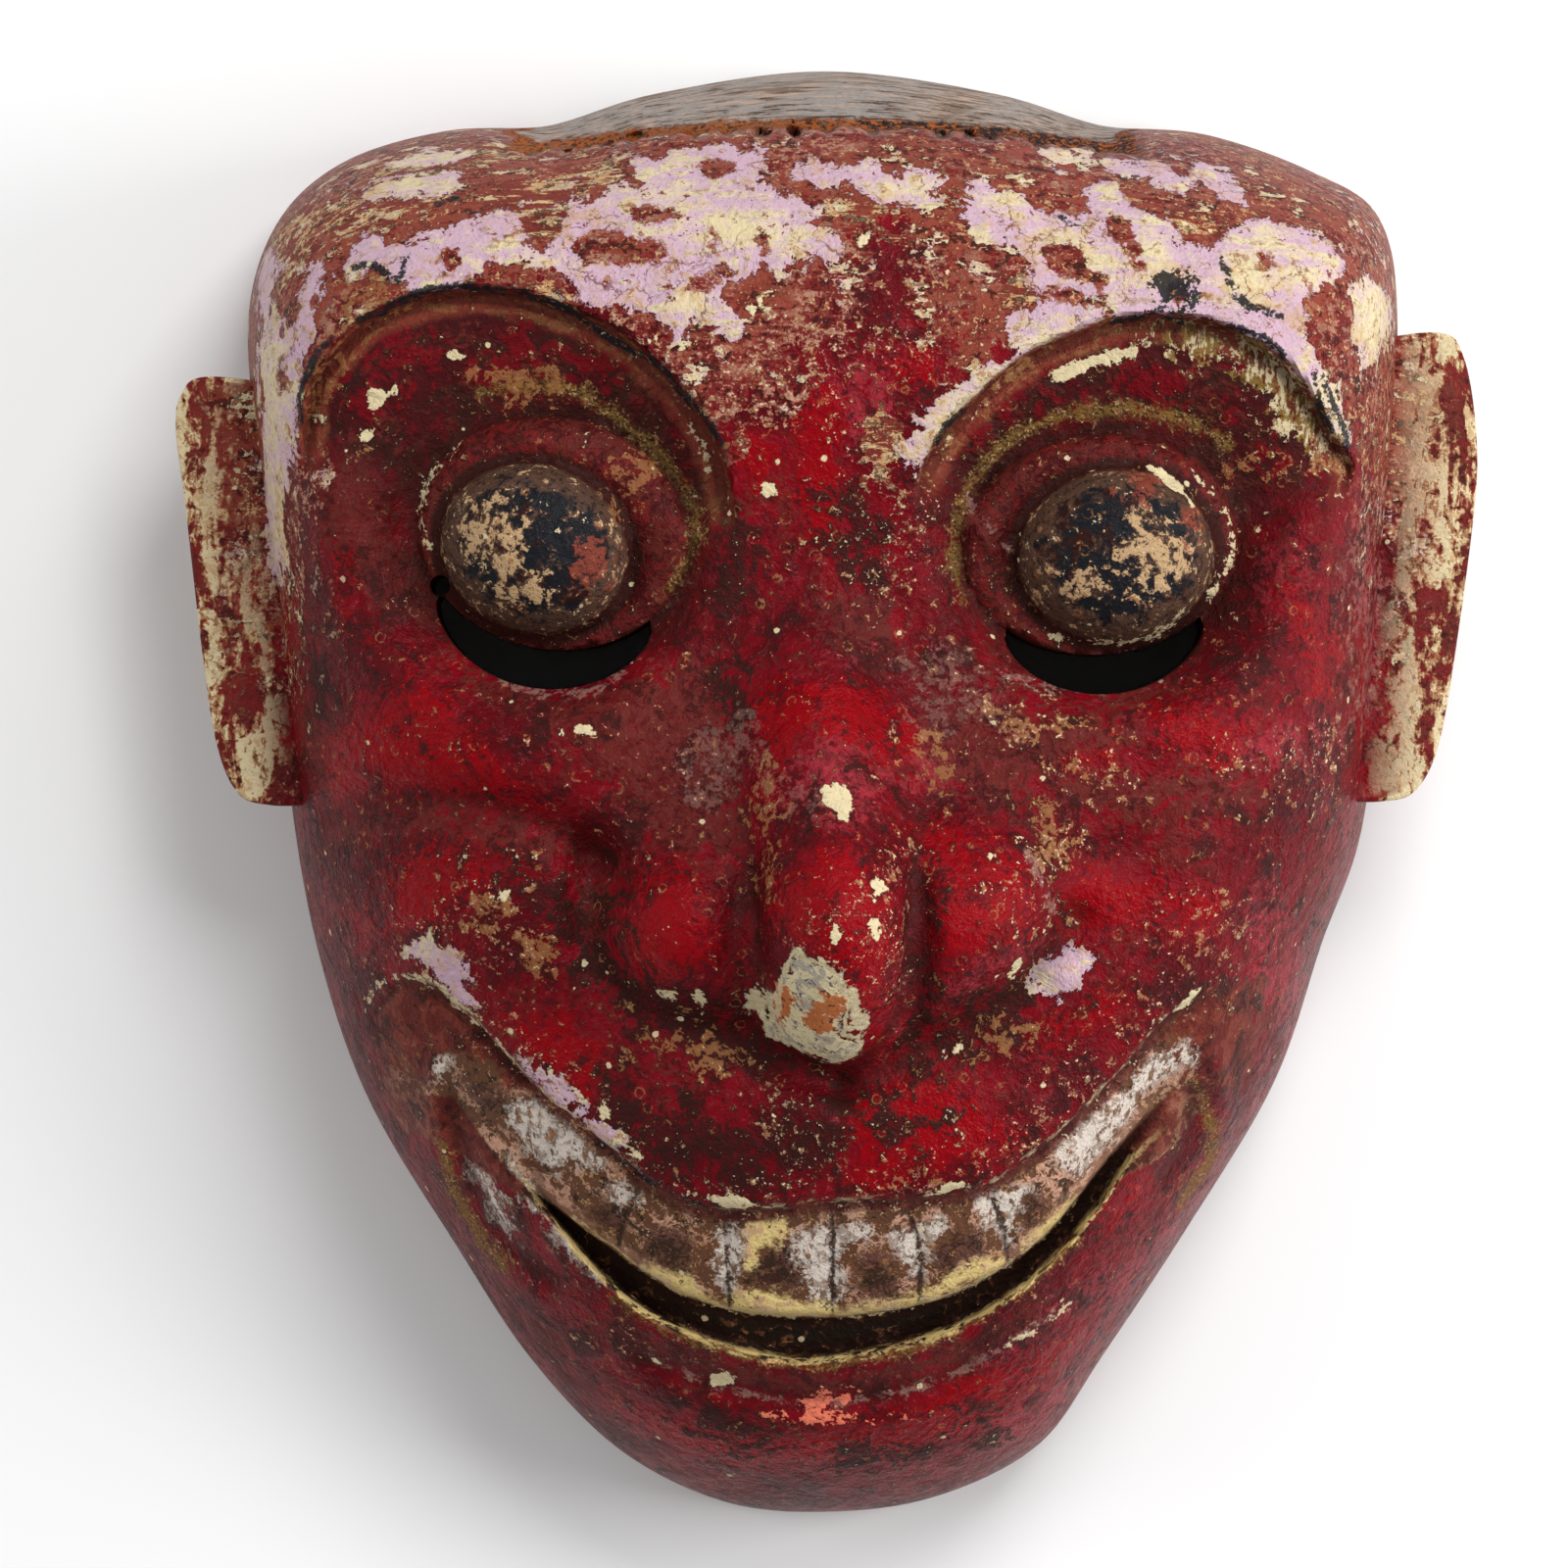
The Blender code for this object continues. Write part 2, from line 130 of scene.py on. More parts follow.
@dataclass(frozen=True)
class Oval:
    """An oval swelling or patch of the face, in millimetres and degrees."""

    x: float
    y: float
    half_width: float
    half_height: float
    rise: float = 0.0
    turn: float = 0.0
    falloff: float = 2.4

    def reach(self, x: Array, y: Array) -> Array:
        """Return the distance from the middle as a share of the radius."""
        turn = math.radians(self.turn)
        across = x - self.x
        up = y - self.y
        wide = (across * math.cos(turn) + up * math.sin(turn)) / self.half_width
        tall = (up * math.cos(turn) - across * math.sin(turn)) / self.half_height
        return np.hypot(wide, tall)

    def swelling(self, x: Array, y: Array) -> Array:
        """Return the height of a soft swelling."""
        return self.rise * np.exp(-self.reach(x, y) ** self.falloff)

    def egg(self, x: Array, y: Array) -> Array:
        """Return the height of half an egg standing on the face."""
        reach = np.clip(self.reach(x, y), 0.0, 1.0)
        return self.rise * np.sqrt(1.0 - reach**2)

    def disc(self, x: Array, y: Array, squareness: float) -> Array:
        """Return the height of a flat disc with a rounded edge."""
        reach = np.clip(self.reach(x, y), 0.0, 1.0)
        return self.rise * np.sqrt(1.0 - reach**squareness)

    def inward(self, x: Array, y: Array) -> Array:
        """Return about how far inside the edge each place is, in millimetres."""
        return (1.0 - self.reach(x, y)) * min(self.half_width, self.half_height)


@dataclass(frozen=True)
class Trail:
    """A smooth line over the face through a few points, in pairs or x and y in turn, in millimetres."""

    points: Points | tuple[float, ...]
    rise: float = 0.0
    half_width: float = 1.0
    steps: int = 8
    closed: bool = False

    def path(self) -> Array:
        """Return many points on the smooth line."""
        few = np.array(self.points, dtype=float).reshape(-1, 2)
        if self.closed:
            few = np.vstack((few[-1:], few, few[:2]))
        else:
            few = np.vstack((2 * few[:1] - few[1:2], few, 2 * few[-1:] - few[-2:-1]))
        share = np.linspace(0.0, 1.0, self.steps, endpoint=False)[:, None]
        spans = []
        for before, start, end, after in zip(few, few[1:], few[2:], few[3:]):
            pull = (end - before) * share
            turn = (2 * before - 5 * start + 4 * end - after) * share**2
            close = (3 * start - before - 3 * end + after) * share**3
            spans.append(start + 0.5 * (pull + turn + close))
        return np.vstack(spans + [few[-2:-1]])

    def height_at(self, x: Array) -> Array:
        """Return how high on the page the line is at each x."""
        path = self.path()
        return np.interp(x, path[:, 0], path[:, 1])

    def gap(self, x: Array, y: Array, margin: float = 14.0) -> Array:
        """Return the distance of each place from the line, up to a margin."""
        path = self.path()
        near = near_points(path, margin, x, y)
        across = x[near]
        up = y[near]
        nearest = np.full_like(across, margin)
        for start, end in zip(path, path[1:]):
            nearest = np.minimum(nearest, line_gap(start, end, across, up))
        gaps = np.full_like(x, margin)
        gaps[near] = nearest
        return gaps

    def above(self, x: Array, y: Array) -> Array:
        """Return the distance from the line, positive above it and negative below."""
        return np.where(y > self.height_at(x), 1.0, -1.0) * self.gap(x, y)

    def relief(self, x: Array, y: Array) -> Array:
        """Return the height of a crease or rib along the line."""
        return self.rise * np.exp(-((self.gap(x, y) / self.half_width) ** 2))


@dataclass(frozen=True)
class Area:
    """A patch of the face with a drawn outline, x and y in turn, in millimetres."""

    outline: tuple[float, ...]
    margin: float = 8.0

    def inward(self, x: Array, y: Array) -> Array:
        """Return how far inside the outline each place is, down to the margin outside it."""
        corners = np.array(self.outline, dtype=float).reshape(-1, 2)
        near = near_points(corners, self.margin, x, y)
        across = x[near]
        up = y[near]
        nearest = np.full_like(across, np.inf)
        inside = np.zeros(across.shape, dtype=bool)
        for start, end in zip(corners, np.roll(corners, -1, axis=0)):
            nearest = np.minimum(nearest, line_gap(start, end, across, up))
            step = end - start
            crosses = (start[1] > up) != (end[1] > up)
            rise = step[1] if step[1] else 1.0
            inside ^= crosses & (across < start[0] + step[0] * (up - start[1]) / rise)
        depth = np.full_like(x, -self.margin)
        depth[near] = np.where(inside, nearest, -np.minimum(nearest, self.margin))
        return depth


@dataclass(frozen=True)
class Eye:
    """One eye: a hollow under a brow, a stepped ring in it and a bulging eyeball."""

    x: float
    y: float
    rim: Points
    brow_from: float
    brow_to: float
    ring: Oval
    ball: Oval
    slot_from: float
    slot_to: float
    slot_width: float = 5.4
    slot_fullness: float = 0.55
    depth: float = 10.5
    step_share: float = 0.5
    steep_share: float = 0.035
    floor_share: float = 0.45
    fade: float = 9.0
    ring_squareness: float = 3.2
    furrow_depth: float = 1.1
    furrow_width: float = 0.09

    def angle(self, x: Array, y: Array) -> Array:
        """Return the angle round the eye, in degrees."""
        return np.degrees(np.arctan2(y - self.y, x - self.x)) % 360.0

    def rim_radius(self, angle: Array) -> Array:
        """Return the radius of the hollow's rim at an angle."""
        rim = np.array(self.rim, dtype=float)
        return np.interp(angle, rim[:, 0], rim[:, 1], period=360.0)

    def under_brow(self, x: Array, y: Array) -> Array:
        """Return 1 where the rim is a brow and 0 where it runs out into the cheek."""
        return between(self.brow_from, self.brow_to, self.fade, self.angle(x, y))

    def inward(self, x: Array, y: Array) -> Array:
        """Return how far inside the hollow's rim each place is, in millimetres."""
        return self.rim_radius(self.angle(x, y)) - np.hypot(x - self.x, y - self.y)

    def hollow(self, x: Array, y: Array) -> Array:
        """Return the depth of the hollow: a step under the brow, then a bowl."""
        reach = np.hypot(x - self.x, y - self.y) / self.rim_radius(self.angle(x, y))
        bowl = 1.0 - ease(self.floor_share, 1.0, reach)
        step = 1.0 - ease(1.0 - self.steep_share, 1.0, reach)
        brow = self.under_brow(x, y)
        stepped = self.step_share * step + (1.0 - self.step_share) * bowl
        return self.depth * (brow * stepped + (1.0 - brow) * bowl)

    def bulge(self, x: Array, y: Array) -> Array:
        """Return the height of the ring and the eyeball, with a furrow between them."""
        furrow = np.exp(-(((self.ball.reach(x, y) - 1.0 - self.furrow_width) / self.furrow_width) ** 2))
        return (self.ring.disc(x, y, self.ring_squareness) + self.ball.egg(x, y)
                - self.furrow_depth * furrow)

    def slot_path(self, steps: int = 40) -> Array:
        """Return the outline of the slot: the ring's lower edge, and back along a wider curve."""
        share = np.linspace(0.0, 1.0, steps)
        angle = np.radians(self.slot_from + (self.slot_to - self.slot_from) * share)
        turn = math.radians(self.ring.turn)
        width = np.sin(math.pi * share) ** self.slot_fullness * self.slot_width
        sides = []
        for extra in (np.zeros_like(share), width):
            wide = (self.ring.half_width + extra) * np.cos(angle)
            tall = (self.ring.half_height + extra) * np.sin(angle)
            x = self.ring.x + wide * math.cos(turn) - tall * math.sin(turn)
            y = self.ring.y + wide * math.sin(turn) + tall * math.cos(turn)
            sides.append(np.stack((x, y), axis=1))
        return np.vstack((sides[0], sides[1][-2:0:-1]))


@dataclass(frozen=True)
class Grin:
    """The mouth: an overhanging lip, a band of teeth and a blind groove under them."""

    lip: Trail = Trail((
        (-61, -30), (-56, -25), (-48, -29.5), (-38, -40), (-29, -47), (-20, -54), (-11, -55.5),
        (1, -54.3), (17, -53.3), (25, -50), (37, -39.5), (45, -30.5), (52, -26)))
    teeth: Trail = Trail((
        (-50, -41), (-42, -51), (-34, -57.5), (-29, -61), (-25, -64), (-20, -67), (-15, -68.8),
        (-9.6, -69.9), (-1.3, -70.4), (4, -70.1), (9.2, -69.3), (15.5, -67.8), (22.7, -64.3),
        (28.5, -60.2), (33.4, -54.7), (38, -48.8), (46, -40)))
    groove: Trail = Trail((
        (-52, -43), (-42, -50), (-38, -55.5), (-34, -60.5), (-30, -65), (-25, -69.2), (-19, -72.3),
        (-11, -75), (-3, -76.2), (4, -75.4), (11, -73.8), (18, -71.4), (24, -67.8), (30, -62.9),
        (36, -56), (41, -49), (50, -41)))
    lip_step: float = 3.4
    tooth_bulge: float = 1.2
    groove_depth: float = 5.0
    left: float = -57.0
    right: float = 49.0
    fade: float = 6.0
    groove_left: float = -40.0
    groove_right: float = 42.0
    groove_fade: float = 5.0
    corner_softness: float = 6.0
    steep: float = 0.5

    def sides(self, x: Array) -> Array:
        """Return 1 inside the corners of the mouth."""
        return between(self.left, self.right, self.fade, x)

    def slit(self, x: Array) -> Array:
        """Return 1 where the groove under the teeth is deep."""
        return between(self.groove_left, self.groove_right, self.groove_fade, x)

    def depth(self, x: Array, y: Array) -> Array:
        """Return how deep the mouth is carved at each place."""
        groove = self.slit(x)
        lip_line = self.lip.height_at(x)
        tooth_line = self.teeth.height_at(x)
        below_lip = ease(-self.steep, self.steep, lip_line - y)
        below_teeth = ease(-self.steep, self.steep, tooth_line - y)
        soft = self.steep + self.corner_softness * (1.0 - groove)
        in_mouth = ease(-soft, soft, y - self.groove.height_at(x))
        band = np.clip((y - tooth_line) / (lip_line - tooth_line + 1.0), 0.0, 1.0)
        teeth = self.lip_step - self.tooth_bulge * np.sin(math.pi * band)
        return in_mouth * (below_lip * teeth * self.sides(x) + below_teeth * self.groove_depth * groove)


@dataclass(frozen=True)
class Ledge:
    """The broken ledge at the top of the forehead, with the bare crown lower behind it."""

    y: float = 89.2
    sag: float = 2.5
    half_width: float = 37.0
    drop: float = 13.0
    steep: float = 1.2
    side_fade: float = 9.0
    roughness: float = 1.1
    coarse: float = 2.2
    fine: float = 0.8
    fine_share: float = 0.6

    def edge(self, x: Array) -> Array:
        """Return where the ledge is at each x."""
        return self.y - self.sag * (x / self.half_width) ** 2

    def behind(self, x: Array, y: Array) -> Array:
        """Return how far behind the ledge each place is."""
        return y - self.edge(x)

    def depth(self, x: Array, y: Array) -> Array:
        """Return the drop behind the ledge, broken along its edge."""
        across = 1.0 - ease(self.half_width, self.half_width + self.side_fade, np.abs(x))
        splinters = lumps(x, y, self.coarse, 31) + self.fine_share * lumps(x, y, self.fine, 32)
        behind = self.behind(x, y) + self.roughness * splinters
        return self.drop * across * ease(-self.steep, self.steep, behind)


@dataclass(frozen=True)
class Ear:
    """A flat ear set back on the side of the head, leaning back."""

    name: str
    points: Points
    side: float
    thickness: float = 9.0
    z: float = 27.0
    lean: float = 10.0
    rounding: float = 2.8


@dataclass(frozen=True)
class FaceForm:
    """The whole carved form of the mask, in millimetres."""

    wall: float = 9.0
    front_wall: float = 14.0
    rim_allowance: float = 2.0
    forehead_squareness: float = 7.5
    jaw_squareness: float = 3.4
    squareness_from: float = -30.0
    squareness_to: float = 40.0
    edge_rounding: float = 2.6
    outline: Trail = Trail((
        (0, 100.2), (-23.5, 97.1), (-38.8, 92.5), (-53, 91.5), (-66.4, 87.4), (-75.3, 79.7),
        (-79.7, 67.5), (-79.2, 51), (-76.2, 24.5), (-74.4, 0), (-70.5, -22.5), (-63.5, -43),
        (-51.2, -63.5), (-41, -79), (-28.6, -91.8), (-14.3, -99), (0, -100.5), (15.3, -98.4),
        (29.6, -91.2), (38.8, -78.4), (51.2, -59.5), (62.5, -40.5), (69, -21.5), (75, -3),
        (77.3, 30.7), (79.2, 63.4), (76.8, 79.2), (67.5, 85.8), (53, 91), (38.8, 92.5),
        (23.5, 97.1)), closed=True)
    middle: Trail = Trail((
        (-98, 58), (-85, 62), (-60, 66), (-30, 66), (0, 64), (30, 65), (55, 69), (75, 67),
        (98, 56)))
    swellings: tuple[Oval, ...] = (
        Oval(-36, 6, 26, 14, 4.5, -8),
        Oval(38, 6, 26, 15, 4.5, 8),
        Oval(-46, -17, 17, 11, 3.5, -25),
        Oval(45, -17, 17, 12, 3.5, 25),
        Oval(1, -46, 34, 13, 4.0, 0),
        Oval(1, -89, 22, 8, 3.0, 0),
        Oval(0, -16, 27, 22, 6.0, 0),
        Oval(-1, 11, 10, 12, 6.0, 0),
        Oval(0, -4, 11, 15, 3.0, 0),
        Oval(2.5, -18.5, 17, 15, 7.5, 0),
        Oval(-20.5, -18.5, 8, 11.5, 8.2, 8),
        Oval(21, -16, 11.5, 13.5, 8.0, -8),
    )
    details: tuple[Oval, ...] = (
        Oval(2.1, -39.2, 2.0, 2.4, -2.4, 20),
        Oval(31.2, -24.5, 2.8, 2.2, 1.3, 35),
        Oval(-18.6, 45.5, 1.2, 1.2, 0.3, 0),
    )
    cuts: tuple[Trail, ...] = tuple(Trail(gap, -0.5, 0.9) for gap in TOOTH_GAPS) + (
        Trail(((-25, -51), (-27, -56), (-28, -61.5)), -0.4, 0.9),
        Trail(((-35, -44), (-37.5, -49), (-39, -52.5)), -0.4, 0.9),
        Trail(((17.5, 38.5), (19, 35.6), (21.3, 33), (23.2, 31)), 1.5, 0.7),
        Trail(((-61, -30), (-56, -25.8), (-48, -30.3), (-38, -40.8)), -0.5, 0.6),
    )
    nose_tip: Oval = Oval(0.7, -20.5, 9.3, 15.8, 10.2, 0)
    bridge_length: float = 38.5
    bridge_spread: float = 0.6
    egg_power: float = 0.5
    bridge_power: float = 1.8
    trails: tuple[Trail, ...] = (
        Trail(((-66, -3), (-57, -1), (-45, -2.3), (-36, -5), (-27, -11)), -2.6, 3.2),
        Trail(((24, -4), (31, -8), (40, -8)), -1.2, 3.5),
        Trail(((-31, -9), (-31, -20), (-24, -28), (-12, -32.5), (1, -38), (13, -34), (27, -24),
               (32, -17)), -3.6, 3.4),
        Trail(((-11, -12), (-12, -21), (-9.5, -31)), -1.3, 1.8),
        Trail(((12, -12), (12.5, -21), (11, -31)), -1.3, 1.8),
        Trail(((-24, -76), (-15, -79.5), (-2, -82), (10, -80.5), (18, -77.5)), -1.8, 2.2),
        Trail(((-53, -38), (-53.2, -46), (-50.2, -56.5), (-45, -64.5), (-39.5, -69)), 1.7, 2.0),
        Trail(((-50, -43), (-48, -51), (-43.5, -59.5), (-37, -65.5)), -1.8, 1.8),
        Trail(((52.5, -37), (54, -44.5), (51.5, -54), (46.3, -60.5)), 1.7, 2.0),
        Trail(((49, -41), (48.5, -47), (45.5, -52)), -1.6, 1.8),
    )
    eyes: tuple[Eye, ...] = (
        Eye(-38.7, 32.6,
            ((12, 27.2), (34, 28), (54, 29), (82, 32), (110, 36.3), (127, 38.2), (144, 37.7),
             (155, 35), (180, 30), (220, 27), (270, 26), (320, 25.5)),
            10, 158, Oval(-36.5, 34.3, 18.2, 15.4, 6.5, -12),
            Oval(-38.9, 32.2, 12.6, 11.0, 8.0, -20), 224, 326),
        Eye(38.7, 31.3,
            ((0, 28), (21, 34.5), (30, 33.3), (50, 34.3), (71, 33.5), (87, 32), (102, 30.3),
             (131, 28.6), (157, 29), (180, 28), (220, 26), (270, 25), (320, 25)),
            19, 160, Oval(36.5, 32.8, 18.4, 14.6, 6.5, 6),
            Oval(38.5, 31.2, 13.0, 11.4, 8.0, 5), 222, 312),
    )
    grin: Grin = Grin()
    ledge: Ledge = Ledge()
    knife_marks: float = 0.22
    knife_sizes: tuple[tuple[float, float], ...] = ((9.0, 1.0), (4.0, 0.5), (1.6, 0.25))
    hollow_marks: float = 0.6
    hollow_mark_size: float = 7.0
    grid_cuts: int = 231
    front_share: float = 0.8
    edge_crowding: float = 0.35
    edge_crowding_power: float = 3.5

    def outline_radius(self, angle: Array) -> Array:
        """Return the distance from the middle to the outline at an angle."""
        path = self.outline.path()
        around = np.arctan2(path[:, 1], path[:, 0])
        order = np.argsort(around)
        reach = np.hypot(path[:, 0], path[:, 1])[order]
        return np.interp(angle, around[order], reach, period=2 * math.pi)

    def soft_height(self, x: Array, y: Array) -> Array:
        """Return the height of the face with only its swellings."""
        height = self.middle.height_at(y)
        for swelling in self.swellings:
            height = height + swelling.swelling(x, y)
        return height

    def broad_height(self, x: Array, y: Array) -> Array:
        """Return the height of the face with its swellings and round eye hollows."""
        height = self.soft_height(x, y)
        for eye in self.eyes:
            reach = np.hypot(x - eye.x, y - eye.y) / max(radius for _, radius in eye.rim)
            height = height - eye.depth * (1.0 - ease(eye.floor_share, 1.0, reach))
        return height + self.hollow_marks * lumps(x, y, self.hollow_mark_size, 11)

    def tip_height(self, x: Array, y: Array) -> Array:
        """Return the height of the nose's tip, an egg that runs up softly into the bridge."""
        up = y - self.nose_tip.y
        bridge = ease(0.0, 1.0, up / self.bridge_length)
        half = self.nose_tip.half_width * (1.0 + self.bridge_spread * bridge)
        across = np.clip(np.abs(x - self.nose_tip.x) / half, 0.0, 1.0)
        down = np.clip(-up / self.nose_tip.half_height, 0.0, 1.0)
        along = np.clip(up / self.bridge_length, 0.0, 1.0)
        power = self.egg_power + (self.bridge_power - self.egg_power) * bridge
        egg = np.clip(1.0 - across**2 - down**2, 0.0, 1.0) ** power
        return self.nose_tip.rise * egg * (1.0 - ease(0.0, 1.0, along))

    def carved_height(self, x: Array, y: Array) -> Array:
        """Return the height of the carved face before its edges turn back."""
        height = self.soft_height(x, y) + self.tip_height(x, y)
        for trail in self.trails + self.cuts:
            height = height + trail.relief(x, y)
        for detail in self.details:
            height = height + detail.swelling(x, y)
        for eye in self.eyes:
            height = height - eye.hollow(x, y) + eye.bulge(x, y)
        for seed, (size, share) in enumerate(self.knife_sizes, 1):
            height = height + self.knife_marks * share * lumps(x, y, size, seed)
        return height - self.grin.depth(x, y) - self.ledge.depth(x, y)

    def turned_back(self, share: Array, y: Array) -> Array:
        """Return how far the edge has turned back, 1 in the middle and 0 at the outline."""
        rise = ease(self.squareness_from, self.squareness_to, y)
        square = self.jaw_squareness + (self.forehead_squareness - self.jaw_squareness) * rise
        return np.clip(1.0 - share**square, 0.0, 1.0) ** (1.0 / self.edge_rounding)

    def skin(self, cube: Array) -> Array:
        """Move points of a cube onto the mask's skin.

        Args:
            cube: Points of a cube from -1 to 1, one row each.

        Returns:
            Their places in millimetres, the upper half outside and the lower half inside.
        """
        row = 2.0 / (self.grid_cuts + 1)
        flat_x = cube[:, 0] * np.sqrt(1.0 - cube[:, 1] ** 2 / 2.0)
        flat_y = cube[:, 1] * np.sqrt(1.0 - cube[:, 0] ** 2 / 2.0)
        angle = np.arctan2(flat_y, flat_x)
        down = 1.0 - np.abs(cube[:, 2])
        inside = cube[:, 2] < -row / 2.0
        down = np.where(inside, down / (1.0 - row), down)
        step = self.front_share * np.hypot(flat_x, flat_y) + (1.0 - self.front_share) * down
        share = (1.0 + self.edge_crowding) * step
        share = np.clip(share - self.edge_crowding * step**self.edge_crowding_power, 0.0, 1.0)
        outline = self.outline_radius(angle)
        reach = share * np.where(inside, outline - self.wall, outline)
        x = reach * np.cos(angle)
        y = reach * np.sin(angle)
        top = np.empty_like(x)
        top[inside] = self.broad_height(x[inside], y[inside]) - self.front_wall
        top[~inside] = self.carved_height(x[~inside], y[~inside])
        return np.stack((x, y, top * self.turned_back(share, y) - self.rim_allowance), axis=1)


def add_object(name: str, data: bpy.types.ID) -> bpy.types.Object:
    """Add a mesh, a light or a camera to the scene as an object."""
    item = bpy.data.objects.new(name, data)
    bpy.context.scene.collection.objects.link(item)
    return item


def add_form(name: str, form: bmesh.types.BMesh) -> bpy.types.Object:
    """Add a finished form to the scene as a mesh object, and free the form."""
    mesh = bpy.data.meshes.new(name)
    form.to_mesh(mesh)
    form.free()
    return add_object(name, mesh)


def make_slab(name: str, path: Array, low: float, high: float) -> bpy.types.Object:
    """Make a flat slab with a given outline.

    Args:
        name: Its name.
        path: Its outline, in millimetres.
        low: The height of its underside, in millimetres.
        high: The height of its top, in millimetres.

    Returns:
        The slab.
    """
    form = bmesh.new()
    loop = bmesh.ops.create_circle(form, cap_ends=True, segments=len(path), radius=1.0)["verts"]
    for vertex, (x, y) in zip(loop, path * MM):
        vertex.co = (x, y, low * MM)
    lifted = bmesh.ops.extrude_face_region(form, geom=form.faces[:])["geom"]
    top = [part for part in lifted if isinstance(part, bmesh.types.BMVert)]
    bmesh.ops.translate(form, vec=(0.0, 0.0, (high - low) * MM), verts=top)
    bmesh.ops.recalc_face_normals(form, faces=form.faces[:])
    return add_form(name, form)


def apply_modifiers(item: bpy.types.Object) -> None:
    """Keep an object's shape with its modifiers applied."""
    graph = bpy.context.evaluated_depsgraph_get()
    solid = bpy.data.meshes.new_from_object(item.evaluated_get(graph))
    item.modifiers.clear()
    item.data = solid


def srgb(red: int, green: int, blue: int) -> Colour:
    """Return a colour in linear light from its usual 0 to 255 values."""
    shares = (red / 255.0, green / 255.0, blue / 255.0)
    return tuple(share / 12.92 if share <= 0.04045 else ((share + 0.055) / 1.055) ** 2.4
                 for share in shares)


@dataclass
class Tree:
    """A material's node tree, built by plain sums on its values."""

    nodes: bpy.types.Nodes
    links: bpy.types.NodeLinks

    def node(self, kind: str, settings: dict | None = None, inputs: dict | None = None) -> bpy.types.Node:
        """Add a node.

        Args:
            kind: The node's type.
            settings: Its own settings, which are set first.
            inputs: Values or links of its sockets, by name or number.

        Returns:
            The node.
        """
        node = self.nodes.new(kind)
        for name, value in (settings or {}).items():
            setattr(node, name, value)
        for key, value in (inputs or {}).items():
            self.feed(node.inputs[key], value)
        return node

    def feed(self, socket: Socket, value: object) -> None:
        """Set a socket's value, or link it."""
        if isinstance(value, Value):
            self.links.new(value.socket, socket)
        elif isinstance(value, Socket):
            self.links.new(value, socket)
        elif isinstance(value, tuple) and socket.type == "RGBA":
            socket.default_value = (*value, 1.0)
        else:
            socket.default_value = value

    def sum(self, operation: str, *parts: object) -> "Value":
        """Add a Math node."""
        node = self.node("ShaderNodeMath", {"operation": operation}, dict(enumerate(parts)))
        return Value(self, node.outputs[0])

    def ramp(self, value: "Value", low: float, high: float) -> "Value":
        """Rise smoothly from 0 at low to 1 at high."""
        node = self.node("ShaderNodeMapRange", {"interpolation_type": "SMOOTHSTEP"},
                         {"Value": value, "From Min": low, "From Max": high})
        return Value(self, node.outputs[0])

    def mix(self, below: object, above: object, share: object) -> Socket:
        """Lay one colour over another, by share."""
        node = self.node("ShaderNodeMix", {"data_type": "RGBA"}, {0: share, 6: below, 7: above})
        return node.outputs[2]

    def layers(self, ground: object, *coats: tuple[object, object]) -> object:
        """Lay several colours over a ground in turn, each with its share."""
        for colour, share in coats:
            ground = self.mix(ground, colour, share)
        return ground

    def noise(self, place: Socket, size: float, detail: float = 3.0,
              roughness: float = 0.55, twist: float = 0.0) -> "Value":
        """Return cloudy noise about 0, nearly all of it from -1 to 1, with lumps of a size in millimetres."""
        node = self.node("ShaderNodeTexNoise", {"noise_dimensions": "3D"},
                         {"Vector": place, "Scale": 1.0 / size, "Detail": detail,
                          "Roughness": roughness, "Distortion": twist})
        layers = roughness ** np.arange(detail + 1.0)
        spread = NOISE_SPREAD * float(layers.sum() / np.sqrt((layers**2).sum()))
        return (Value(self, node.outputs[0]) - 0.5) * spread

    def cells(self, place: Socket, size: float, feature: str = "F1") -> bpy.types.Node:
        """Add a cell pattern with cells of a size in millimetres."""
        return self.node("ShaderNodeTexVoronoi", {"feature": feature},
                         {"Vector": place, "Scale": 1.0 / size})

    def picks(self, cells: bpy.types.Node) -> list["Value"]:
        """Return three random numbers of each cell of a pattern."""
        split = self.node("ShaderNodeSeparateColor", None, {0: cells.outputs["Color"]})
        return [Value(self, output) for output in split.outputs]

    def shifted(self, place: Socket, shift: Socket) -> Socket:
        """Return places moved by a shift."""
        return self.node("ShaderNodeVectorMath", {"operation": "ADD"}, {0: place, 1: shift}).outputs[0]

    def stretched(self, place: Socket, scale: tuple[float, float, float],
                  turn: float = 0.0) -> Socket:
        """Return places turned by degrees about Z and then scaled along each axis."""
        node = self.node("ShaderNodeMapping", None,
                         {"Vector": place, "Rotation": (0.0, 0.0, math.radians(turn)), "Scale": scale})
        return node.outputs[0]


